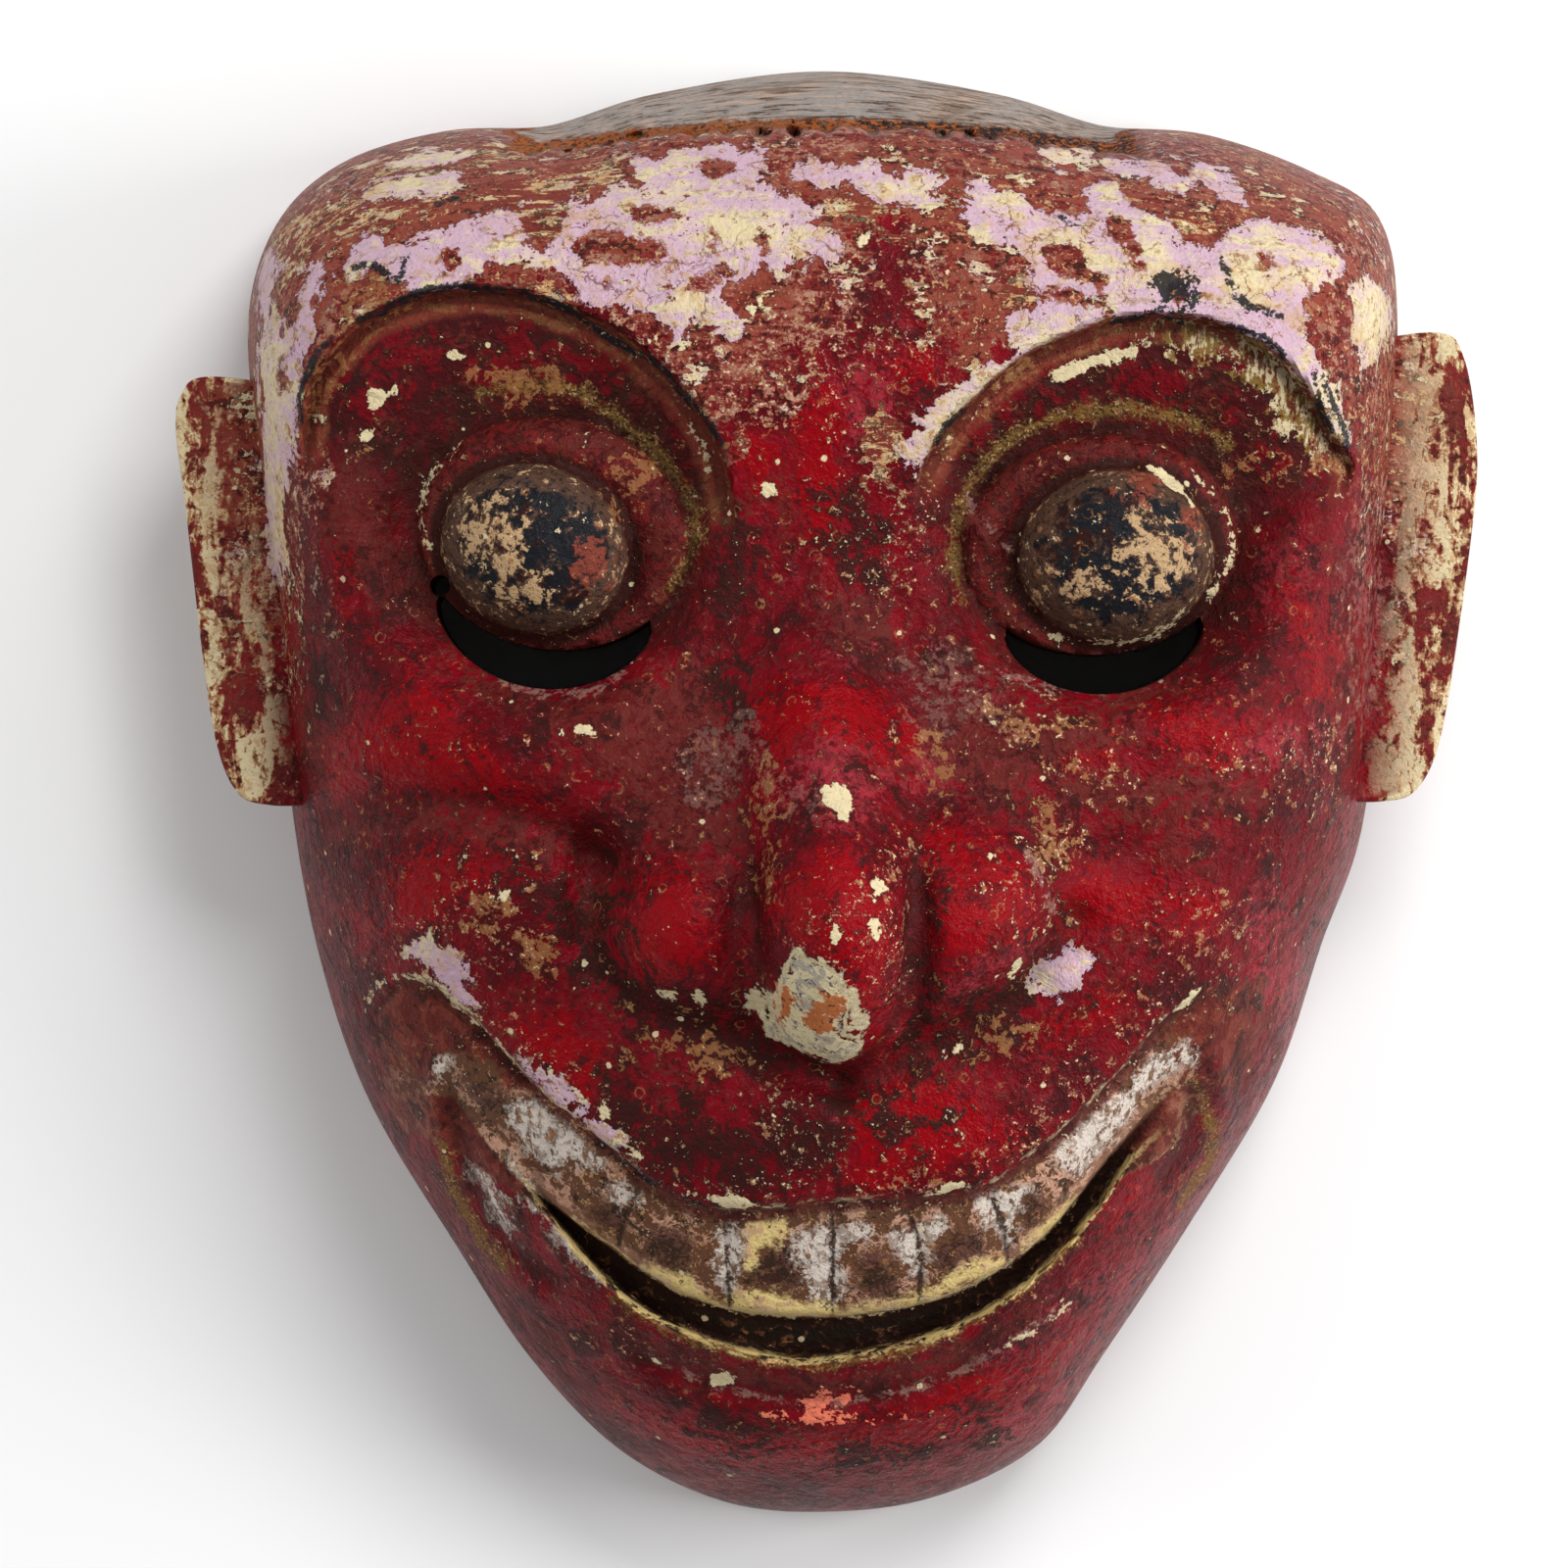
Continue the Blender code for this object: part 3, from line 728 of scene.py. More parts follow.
@dataclass
class Value:
    """A number that varies over the surface, for use in plain sums."""

    tree: Tree
    socket: Socket

    def __add__(self, other: object) -> "Value":
        """Add."""
        return self.tree.sum("ADD", self, other)

    def __radd__(self, other: object) -> "Value":
        """Add."""
        return self.tree.sum("ADD", other, self)

    def __sub__(self, other: object) -> "Value":
        """Subtract."""
        return self.tree.sum("SUBTRACT", self, other)

    def __rsub__(self, other: object) -> "Value":
        """Subtract from a number."""
        return self.tree.sum("SUBTRACT", other, self)

    def __mul__(self, other: object) -> "Value":
        """Multiply."""
        return self.tree.sum("MULTIPLY", self, other)

    def __rmul__(self, other: object) -> "Value":
        """Multiply."""
        return self.tree.sum("MULTIPLY", other, self)

    def size(self) -> "Value":
        """Drop the sign."""
        return self.tree.sum("ABSOLUTE", self)

    def most(self, other: object) -> "Value":
        """Return the greater of two."""
        return self.tree.sum("MAXIMUM", self, other)

    def above(self, edge: float, soft: float) -> "Value":
        """Return 1 where the value is above an edge, with a soft change of a given half width."""
        return self.tree.ramp(self, edge - soft, edge + soft)

    def within(self, reach: float, soft: float) -> "Value":
        """Return 1 where the value is nearer to 0 than a reach, with a soft change."""
        return (self.size() * -1.0).above(-reach, soft)


class Patch(Enum):
    """Where each coat of paint, each bare place and each stain lies, and where highlight, pink sheen and
    shade are painted, in millimetres.
    """

    PALE = (
        Area((-63.5, 72.5, -60, 73.5, -57.5, 71.5, -45, 76, -39.5, 75.5, -42, 71.5, -46, 70, -49, 66.5,
            -51.5, 67, -54.5, 66.5, -56, 68.5, -58, 68.5, -59.5, 70, -62.5, 69)),
        Area((-41, 71.5, -37.5, 71.5, -35.5, 73, -34.5, 76, -32.5, 78, -30, 79.5, -24, 80, -22, 80.5,
            -24.5, 82.5, -24.5, 84, -21.5, 83.5, -18.5, 85, -14, 86, -9, 85, -8.5, 83.5, -12.5, 80,
            -4.5, 78.5, -1.5, 77, -4, 75.5, -2, 74, 1, 73, 0.5, 71, -3.5, 70, -9, 69.5, -13.5, 66.5, -15, 65,
            -13, 63.5, -12, 60, -13.5, 61.5, -14.5, 64, -16.5, 64.5, -18.5, 63, -20, 60.5, -22, 64, -29, 65,
            -31.5, 64.5, -35.5, 68.5)),
        Area((-62.5, 80.5, -59.5, 81.5, -56, 82.5, -50.5, 83, -49.5, 82, -52.5, 80.5, -61, 80)),
        Area((-58.1, 84.7, -55.1, 85.7, -48.6, 86, -51.9, 84.5, -55.6, 84.1)),
        Area((-4, 82.5, 2.5, 83, 6.5, 82.5, 9, 81.5, 13.5, 82, 15.5, 81.5, 15, 80, 9.5, 78, 7, 79, 5, 80.5,
            2, 81.5, -4, 81.5)),
        Area((18, 79, 21, 80.5, 33, 75.5, 35, 77, 34, 79.5, 37, 80.5, 40, 78.5, 41.5, 76, 45, 75.5,
            47.5, 72.5, 51, 72, 53.5, 73, 55, 74.5, 56, 76.5, 62.5, 74.5, 66, 72.5, 68.5, 70, 67.5, 68,
            62.5, 64.5, 61.5, 61.5, 68.5, 49.5, 69.5, 46, 68.5, 44, 65.5, 47.5, 61.5, 55.5, 58, 59, 51, 63,
            40, 62.5, 26, 57, 24, 62.5, 27, 62.5, 29.5, 64.5, 26, 73, 19.5, 74.5)),
        Area((71, 67.5, 73.5, 68.5, 75, 66.5, 75.5, 62.5, 74, 59, 72, 58, 71, 62.5)),
        Area((29.5, 85.5, 33, 86, 35, 84.5, 31.5, 83.5)),
        Area((38.5, 84, 42, 84, 45.5, 83.5, 48.5, 81.5, 41, 82.5)),
        Area((50, 84.5, 54, 82, 56, 78, 53.5, 79, 51.5, 82)),
        Area((22.5, 56.5, 25, 57, 23, 54, 20, 52, 13.5, 44.5, 11, 43, 10.5, 45.5, 13.5, 49)),
        Area((-68.5, 70, -67, 69, -67.5, 65, -70.5, 57, -74, 29, -75.5, 29, -76, 58, -74, 63.5, -72.5, 60.5)),
        Area((-76.5, 70.5, -75, 72.5, -74.5, 69.5, -75, 65, -76.5, 64)),
        Area((-56, -21.5, -54, -20.5, -51.5, -21.5, -49.5, -21.5, -48, -23, -47.5, -28, -49, -27.5,
            -52, -24)),
        Area((-32.5, -42.5, -30.5, -44.5, -28, -47, -29, -47, -31.5, -45)),
        Area((-41.5, -36, -38.5, -37.5, -34.5, -40.5, -35.5, -41, -39, -38.5)),
        Area((28, -24, 32, -21, 34, -22.5, 33, -25, 29.5, -27, 28, -26)),
    )
    CREAM = (
        Oval(-23.6, 78.6, 4, 1.3), Oval(-12.4, 74.3, 9.1, 2.9, turn=-5), Oval(-4.4, 72.7, 3.7, 1.6),
        Oval(-38, 70.6, 3.2, 1.2, turn=-15), Oval(-17.7, 64.7, 3.7, 1.9), Oval(-55.7, 81.2, 3.7, 0.7, turn=5),
        Oval(-74.2, 54.9, 1.8, 8.1), Oval(-73.5, 35.9, 1.9, 6.5), Oval(-53.4, 85, 4.8, 1.1),
        Oval(12.3, 80.2, 2.7, 1), Oval(23.5, 78.3, 2.7, 1.2, turn=-20), Oval(33.7, 70.6, 5.3, 2.5, turn=-30),
        Oval(43.3, 70.8, 3, 3.7), Oval(56.1, 67.9, 4, 3.2), Oval(60.9, 72.2, 3.7, 1.6, turn=-30),
        Oval(28.6, 59.9, 4.3, 1.6, turn=15), Oval(64.4, 68.4, 3.2, 2.1), Oval(66.2, 53.3, 2.2, 4.8, turn=25),
        Oval(73, 63.2, 3.3, 6), Oval(32.3, 84.9, 3.2, 1.6), Oval(18.2, 50.4, 8.6, 2.7, turn=40),
        Oval(28.5, -25.2, 0.7, 1.3), Oval(-54.6, -20.9, 1.9, 1),
    )
    TAN = (
        Area((-63, 84, -55, 87.5, -40, 88, -27, 86, -40, 84.5, -49, 83.5, -62, 81)),
        Area((-68.5, 76, -64.5, 81, -61, 79.5, -52, 80, -50.5, 79.5, -51.5, 78, -58, 74.5, -62.5, 73.5,
            -66, 74, -68, 73.5)),
        Area((-48, 78.5, -44, 80.5, -41, 83, -32, 84.5, -27.5, 84.5, -27, 81.5, -32, 78.5, -35.5, 76,
            -37, 72.5, -38.5, 72.5, -40.5, 76)),
        Area((-63.5, 69, -60, 70, -57, 69, -55, 67, -50.5, 66.5, -57, 65, -62, 62.5)),
        Area((-41, 71, -37.5, 70, -34, 68, -30, 61.5, -34.5, 63.5, -38.5, 64.5)),
        Area((-0.5, 78.5, 3.5, 79, 10, 77.5, 11, 75, 8.5, 73, 7, 76, -0.5, 76)),
        Area((26, 73, 29.5, 64.5, 24.5, 62.5, 23, 64.5)),
        Area((41, 77, 45.5, 77.5, 51, 76.5, 53.5, 74, 51, 72, 47.5, 72.5, 45, 75)),
        Area((37, 61.5, 44.5, 63, 51, 62.5, 32.5, 58.5, 26, 55, 26, 57)),
        Area((-76, 76.5, -73, 79, -69, 80, -66.5, 77, -73, 64.5, -74.5, 67, -76, 71)),
        Area((6, 51, 9.5, 48.5, 12, 45.5, 8, 42, 5.5, 38, 4.5, 43.5)),
        Area((-19, 52.5, -13.5, 45.5, -16, 46, -19, 50)),
    )
    RUST = (
        Area((-34, 71.5, -33, 74, -30.5, 74.5, -27.5, 74.5, -22, 72.5, -20.5, 70.5, -22.5, 69.5, -25, 70,
            -27, 69, -30, 70.5, -31.5, 70)),
        Oval(-23.6, 76.6, 3.2, 1.1, turn=-3),
        Area((-18, 83, -16.5, 84, -14, 84.5, -11.5, 84, -12, 82.5, -14, 81.5, -16.5, 82)),
        Oval(-8.5, 71.7, 0.7, 2.4), Oval(-15.6, 67.5, 2.8, 1.4, turn=20), Oval(-29, 67.6, 0.7, 0.9, turn=20),
        Oval(-20.8, 66, 0.7, 0.9), Oval(-25.3, 67.9, 0.4, 0.4), Oval(-49.9, 70.6, 1.4, 2.4, turn=10),
        Oval(-56.7, 75.4, 0.6, 0.7), Oval(-59.7, 67.9, 1.4, 1.4),
        Area((-41, 76.5, -37.5, 77.5, -35.5, 75.5, -36, 73, -38, 72, -39.5, 74)),
        Area((29.5, 81.5, 33.5, 81, 34.5, 78, 33.5, 76, 31, 77, 29, 78.5)),
        Area((36.5, 76, 39, 76.5, 41, 74.5, 42.5, 68.5, 41, 68.5, 39.5, 72, 37, 74)),
        Area((45, 77, 48.5, 76.5, 53, 74.5, 52, 72.5, 45.5, 75.5)),
        Area((28.5, 71.5, 31.5, 72.5, 33.5, 71.5, 34.5, 69, 37, 68, 36.5, 66, 33.5, 67.5, 30.5, 68,
            28.5, 69.5)),
        Oval(31.5, 65.2, 3.3, 1.3, turn=-8), Oval(58.2, 69.8, 0.9, 1.8, turn=15), Oval(47.3, 72.7, 0.4, 1.5),
        Oval(36.3, 64.2, 0.4, 1.8, turn=30), Oval(41.1, 79.8, 1.5, 1.2, turn=-10),
        Oval(64.1, 66.3, 0.7, 2.1, turn=20), Oval(53.4, 78.1, 1.4, 0.6, turn=-40), Oval(46.5, 65.4, 1.4, 1.4),
        Oval(-72.3, 65.7, 1.1, 3.3, turn=20), Oval(-72.8, 54.9, 0.8, 2.2),
        Area((-51.5, 77.5, -48.5, 79.5, -41, 82.5, -39.5, 81, -43, 78, -46, 77, -49.5, 76.5)),
        Oval(-55, 83.5, 4.3, 0.4, turn=5), Oval(-15.1, 73.5, 0.5, 1.4, turn=10), Oval(-43.9, 73.8, 0.5, 0.4),
    )
    # Bright glossy red paint, which also serves as painted highlight on the lit tops of the nose, cheeks,
    # lips and chin.
    BRIGHT = (
        Area((-58, -9.5, -54.5, -8.5, -48.5, -7.5, -37, -11.5, -39.5, -14, -45.5, -13, -54.5, -18,
            -59.5, -19.5, -60, -15.5)),
        Area((-67, 7, -60.5, 10, -57.5, 13, -55.5, 15.5, -50, 11.5, -45, 6, -41, 2, -37, -3, -42, -0.5,
            -48, 0.5, -55.5, -0.5, -62, -1.5, -67.5, -2.5)),
        Area((-66, 32, -64.5, 30.5, -62.5, 23.5, -60.5, 19, -62, 18.5, -65, 25.5)),
        Area((-4, 51, -0.5, 54.5, 1.5, 54, 2.5, 49.5, 2, 43.5, 2.5, 37, 0.5, 33, -2, 35, -4, 43.5)),
        Area((8, 57, 13.5, 58.5, 16, 57, 15, 54, 10, 53)),
        Area((-13.5, 47, -9, 48.5, -2, 42, -7, 40, -11.5, 41)),
        Area((-11, 11.5, -8, 14.5, 2.5, 14.5, 9.5, 11.5, 11.5, 9, 9.5, 6, 7.5, 4.5, 4.5, 7, 0.5, 8.5, -3, 8,
            -5.5, 5, -6, 1, -5.5, -1.5, -8, -2.5, -9.5, -0.5, -9.5, 8)),
        Area((-7, -12.5, -4.5, -9.5, -1, -7, 3.5, -7, 6, -9.5, 7.5, -12.5, 8.5, -17.5, 7, -29.5, 7.5, -32,
            6, -33.5, 4.5, -31.5, 4, -27.5, 2, -22.5, -6.5, -19, -8, -15.5)),
        Area((-26, -24, -26.5, -17.5, -25.5, -13.5, -23, -10.5, -19.5, -10, -17.5, -12, -16, -15.5,
            -15, -19.5, -16, -22, -19.5, -25.5, -21, -25, -24, -25.5)),
        Area((9.5, -5.5, 15, -4.5, 23, -6.5, 26, -9.5, 27.5, -13.5, 27.5, -18.5, 15.5, -25, 14.5, -28,
            13, -19.5, 15, -12, 13, -9.5, 9.5, -8.5)),
        Area((-36.5, -30, -32.5, -30, -30.5, -34.5, -30, -39.5, -33.5, -40.5, -36.5, -38)),
        Area((26.5, -31, 30.5, -29, 36, -27.5, 39.5, -28, 37, -31, 29.5, -36.5, 26.5, -35)),
        Area((2.5, -41.5, 9, -38.5, 15.5, -38.5, 21, -41.5, 24.5, -45.5, 19.5, -49, 14, -51.5, 6.5, -53,
            2, -50)),
        Area((28.5, -11.5, 33, -9.5, 39, -9.5, 44, -12, 43, -16.5, 38, -17.5, 34, -19.5, 33, -23, 31, -20.5)),
        Area((43, -14, 47.5, -12.5, 52.5, -14, 51.5, -19.5, 47, -20, 43.5, -17)),
        Area((-43.5, -30, -32, -30.5, -30.5, -34, -32, -37.5, -30.5, -40.5, -32.5, -41.5, -36.5, -37,
            -40.5, -34)),
        Area((43.5, 11, 47.5, 12.5, 53, 11, 57, 8, 52, 4, 47.5, 5, 43.5, 7)),
        Area((31.5, 5.5, 36, 6, 40, 4.5, 38, 3, 32.5, 3.5)),
        Area((61.5, 27, 65.5, 22, 67.5, 17, 67, 12.5, 64.5, 12.5)),
        Area((67, 21.5, 69.5, 18.5, 69, 14, 67, 16)),
        Area((-0.5, 13.5, 3.5, 14.5, 10, 11, 12, 7, 11, 4, 6, 7, 1.5, 7, -0.5, 8)),
        Area((-29.5, -83.5, -11, -85, -4, -86.5, 7, -85.5, 26.5, -79.5, 25, -85, 19.5, -88.5, 10, -92,
            -11, -92, -19, -90.5, -26, -87)),
        Area((37, -58.5, 40.5, -54.5, 42, -52, 42.5, -52.5, 42, -55.5, 38.5, -58.5)),
        Area((-64.5, -15.5, -61.5, -15, -60, -18.5, -63, -23, -64.5, -19.5)),
        Area((9, -83, 24, -77.5, 36.5, -71.5, 30.5, -80, 19, -84.5)),
        Area((69.5, 38, 70.5, 42.5, 72.5, 44, 72, 38.5, 70.5, 33)),
    )
    # Painted pink sheen, mostly on the nose and on the right of the face.
    ROSY_SHEEN = (
        Oval(1.5, 2, 6.5, 6), Oval(0, -13, 4, 4), Oval(20, -22.6, 6.7, 2.9, turn=25),
        Oval(7.5, -28.1, 2.4, 5.2), Oval(58.6, 5.5, 9.1, 4.3, turn=15), Oval(5.3, 50.8, 4.3, 5.9),
        Oval(26.7, -84.6, 7.7, 3.5, turn=30), Oval(60.7, -24.1, 4.4, 9.8, turn=10), Oval(15.4, 3.9, 6.4, 4.8),
        Oval(-0.1, 51.9, 3.2, 3.2), Oval(9.1, -47.3, 2.9, 2.9), Oval(-46.3, 23.3, 3.2, 3.2),
        Oval(30.6, -71.6, 10.7, 1.5, turn=35), Oval(73, 29, 1.6, 16.3), Oval(43.4, -63.1, 11.7, 2, turn=50),
        Oval(60.3, 29.8, 3.2, 3.8), Oval(1.4, -15.4, 3.1, 2.5), Oval(-18.6, -19.6, 1.5, 3.6),
    )
    BROWN = (
        Area((-26, 15, -15, 18, -12, 12, -10.5, 0, -11, -8, -17, -8, -25, -5, -32, 3)),
        Area((12, 16, 24, 12, 36, 11, 41, 5, 32, 2, 24, -2, 14, 0, 11, 8)),
        Area((-67.5, -4, -60.5, -1.5, -52.5, -1.5, -45, -2.5, -38.5, -4.5, -33, -8, -37.5, -9.5, -52.5, -5.5,
            -59, -6, -65.5, -9, -68.5, -9.5)),
        Area((-70, 43, -62.5, 45, -57, 39.5, -55, 31.5, -51.5, 25.5, -54.5, 21, -62.5, 25.5, -68, 33)),
        Area((29.5, 3, 37, 4, 45.5, 3, 51, 4, 56, 3, 63.5, 4, 62.5, -0.5, 56, -3, 47.5, -2.5, 40, -4.5,
            33.5, -3.5, 29.5, -1.5)),
        Area((-49.5, 18, -40.5, 13, -32, 12.5, -24.5, 14, -19.5, 18.5, -14, 18, -12.5, 12.5, -19.5, 7,
            -27.5, 5.5, -42, 10.5, -48, 13.5)),
        Area((15.5, 22, 22.5, 14.5, 31.5, 13, 39, 13.5, 46.5, 16, 49.5, 11.5, 33.5, 10, 25, 11, 17.5, 13.5)),
        Area((-50, -63.5, -46, -66, -39, -69, -32, -78.5, -30, -85.5, -35, -82)),
        Area((-30, -70, -22, -74, -12, -77.5, -3, -78.5, 8, -77, 18, -74, 27, -69, 27, -72, 18, -77, 9, -80,
            -2, -82, -12, -81, -22, -77.5, -30, -73)),
        Area((-63.5, -28.5, -60, -26.5, -55, -25.5, -49.5, -30.5, -43.5, -34, -40, -41, -43.5, -40.5,
            -48.5, -34, -53.5, -35, -54.5, -40, -56.5, -44, -60.5, -41)),
        Area((-33.5, -12, -29.5, -11.5, -26.5, -14.5, -27.5, -23, -30.5, -22.5, -33.5, -17.5)),
        Area((-0.5, 25, 7.5, 26.5, 11, 21, 8, 15.5, -0.5, 19)),
        Area((48.5, -28.5, 55.5, -26.5, 63, -30.5, 58, -41, 55, -41, 52.5, -34.5)),
        Area((63.5, 66.5, 67.5, 67, 70, 62.5, 73.5, 44, 71.5, 40.5, 64.5, 59)),
    )
    # Dark red-brown paint, and painted shade under the nose, beside its wings and in the creases of the
    # cheeks.
    DARK = (
        Oval(-12, -86, 7, 2.2, turn=-5), Oval(12, -88.5, 8, 2, turn=10), Oval(-2, -47, 5, 3),
        Oval(11, -43.5, 4, 1.8),
        Area((-27.5, -25, -18.5, -26.5, -14, -30.5, -0.5, -37, -3.5, -38, -24.5, -33, -28, -29)),
        Area((13, -33, 18, -30, 24, -25.5, 30.5, -22, 28.5, -28, 25.5, -32, 20, -35.5, 15, -36)),
        Area((-29.5, -37.5, -22, -40.5, -10, -43.5, -5, -40.5, -3, -50.5, -12.5, -51.5, -22, -49.5,
            -29, -43.5)),
        Area((-47, -9.5, -34.5, -13, -30.5, -19.5, -32, -23.5, -36.5, -18.5)),
        Area((-30, -14.5, -26.5, -14, -27, -24, -28.5, -27, -30.5, -23)),
        Oval(2, -39.9, 1.8, 2.3, turn=20), Oval(13.1, -27.9, 0.7, 4.6, turn=-8),
        Oval(28.9, -9.4, 1.3, 5.7, turn=20),
        Area((-70.5, 25.5, -66, 12.5, -68, 9.5, -70, 15)),
        Area((-15, 37.5, -9.5, 35, -8, 27.5, -12.5, 25.5, -15, 31.5)),
        Area((0.5, 39, 5, 42, 8, 34, 6, 27.5, 2.5, 29.5)),
        Area((-14, 15.5, -11, 16, -10, 12, -12.5, 8, -14, 11)),
    )
    RUBBED = (
        Area((70, 42, 73, 44, 75, 30, 75, 12, 71.5, 10, 70.5, 26)),
        Area((-17, 6, -14, 8, -10, 8.5, -10, 3.5, -11, 0, -14, -2.5, -17, -0.5)),
        Area((-8, 1, -4.5, 1.5, -3.5, -1, -5.5, -2.5, -7.5, -1.5)),
        Area((11.5, 16.5, 17.5, 10, 15, 9, 11.5, 12)),
        Area((-17.5, 57, -11, 56, -7, 54, -8.5, 51, -15, 53)),
        Area((14.5, 18, 22, 12.5, 25, 8, 20, 9.5, 15.5, 12.5)),
        Area((-49.5, 88.5, -35.5, 91, -41, 88.5, -46.5, 87.5)),
    )
    SPECKLED = (
        Area((-49.5, -16.5, -46, -12.5, -41.5, -13, -40.5, -18.5, -43.5, -20.5, -45.5, -23.5, -46, -28,
            -47.5, -28, -48, -23, -56, -21.5, -59.5, -23.5, -61, -26, -59, -23, -55, -19.5)),
        Area((-47, -28, -43.5, -34, -39.5, -36, -33.5, -40, -29, -47, -22, -51.5, -12.5, -52.5, 1, -48,
            2, -53, -12.5, -55, -22, -53.5, -29.5, -49.5, -43.5, -36, -47.5, -29.5)),
        Area((-0.5, -53, 14, -52.5, 26.5, -46.5, 43, -31, 49.5, -26, 55.5, -21, 52.5, -20.5, 30.5, -42.5,
            26.5, -45, 14, -49, 8, -51.5, -0.5, -51.5)),
        Area((-30, 62.5, -21.5, 60, -12, 59.5, 2, 64.5, 2, 51.5, -11.5, 48.5, -24.5, 59.5)),
        Area((-0.5, 64.5, 10, 66, 26, 59.5, 20, 54, 10, 56.5, -0.5, 57)),
        Area((4.5, -11.5, 9.5, -10.5, 7.5, -23.5, 2.5, -22.5, -3.5, -19.5, -0.5, -16.5, 4.5, -16.5)),
        Area((22.5, -9.5, 30.5, -7.5, 31.5, -15.5, 25, -15.5)),
        Area((22, 10.5, 29.5, 11, 29.5, 8, 23, 8)),
        Area((29.5, 4, 40, 3, 37, 1, 29.5, 2)),
        Area((54.5, 6, 66, 7, 66, -0.5, 56.5, 2)),
        Area((-8.5, -40, -5.5, -40.5, -5.5, -45, -8.5, -44.5)),
        Area((47, -15.5, 55.5, -19.5, 53, -22.5, 48, -19)),
        Area((2.5, 45.5, 12.5, 44.5, 11, 25.5, 7, 27.5)),
        Area((62, 45, 68.5, 45, 68, 42.5, 62, 42.5)),
    )
    OCHRE = (
        Area((-25, -32.5, -22.5, -31.5, -19, -32.5, -18.5, -33.5, -21, -34)),
        Area((-17.5, -33, -14.5, -34, -12.5, -35.5, -15, -35.5, -17.5, -34.5)),
        Oval(-8.5, -5.8, 0.8, 2.4, turn=-5), Oval(29.1, -5.3, 1.1, 3.1, turn=5),
        Oval(21.7, -33.2, 1.6, 0.9, turn=10), Oval(26.2, 9.8, 2.7, 1, turn=-10), Oval(-38.6, -21.9, 1.5, 1.9),
        Oval(22.6, -32.4, 2.4, 1, turn=20), Oval(-44.8, -17, 2.9, 1.9), Oval(36.9, 2.3, 1.2, 0.7),
        Oval(14.1, 2.5, 1.5, 2.1, turn=20),
        Area((-70, 55, -67.5, 57.5, -64.5, 59, -64.5, 56.5, -68.5, 50, -70, 49.5)),
        Area((-63, 66.5, -57, 65, -62, 62.5, -63, 64)),
        Oval(-41, 53.6, 3.2, 1.2), Oval(24.7, 56.3, 2.1, 1, turn=30), Oval(-25.6, 42.6, 1.6, 2.7, turn=-20),
        Oval(65.4, 43.4, 3.2, 0.9),
    )
    FLAP = (
        Area((42.5, 60.5, 48, 62, 53, 60.5, 58.5, 58.5, 62, 56, 66, 48, 69, 44.5, 64, 44.5, 60, 48, 56, 55,
            51, 57.5, 45.5, 58)),
    )
    SOOT = (
        Oval(44.7, 65.9, 1.8, 1.8), Oval(47.6, 64.8, 0.7, 1.1),
    )
    BARE = (
        Area((-5, -22, -4.5, -20.5, -3.5, -20.5, -3, -22, -1, -22, 1, -23.5, 2, -25.5, 2.5, -29.5, 2, -31.5,
            4.5, -32.5, 4, -34.5, 1.5, -35.5, -1.5, -34.5, -8, -32, -8, -30.5, -6.5, -29.5, -6, -24.5)),
        Area((2.5, -26, 3.5, -26, 4, -28.5, 5.5, -30, 4.5, -31, 3, -29.5)),
        Oval(-9.8, -27.2, 0.3, 0.9, turn=-10), Oval(-8.7, -28.2, 0.3, 0.8, turn=15),
        Oval(-7.2, -28.1, 0.6, 1.2, turn=10),
    )
    ORANGE = (
        Area((-0.5, -26, 2, -26, 2, -29.5, 1.5, -31.5, -1, -32.5, -3, -31.5, -3.5, -29.5, -1.5, -29)),
        Area((-6.6, -26, -5.3, -25.3, -4.7, -28.6, -5.7, -30.2, -6.6, -29.1)),
    )
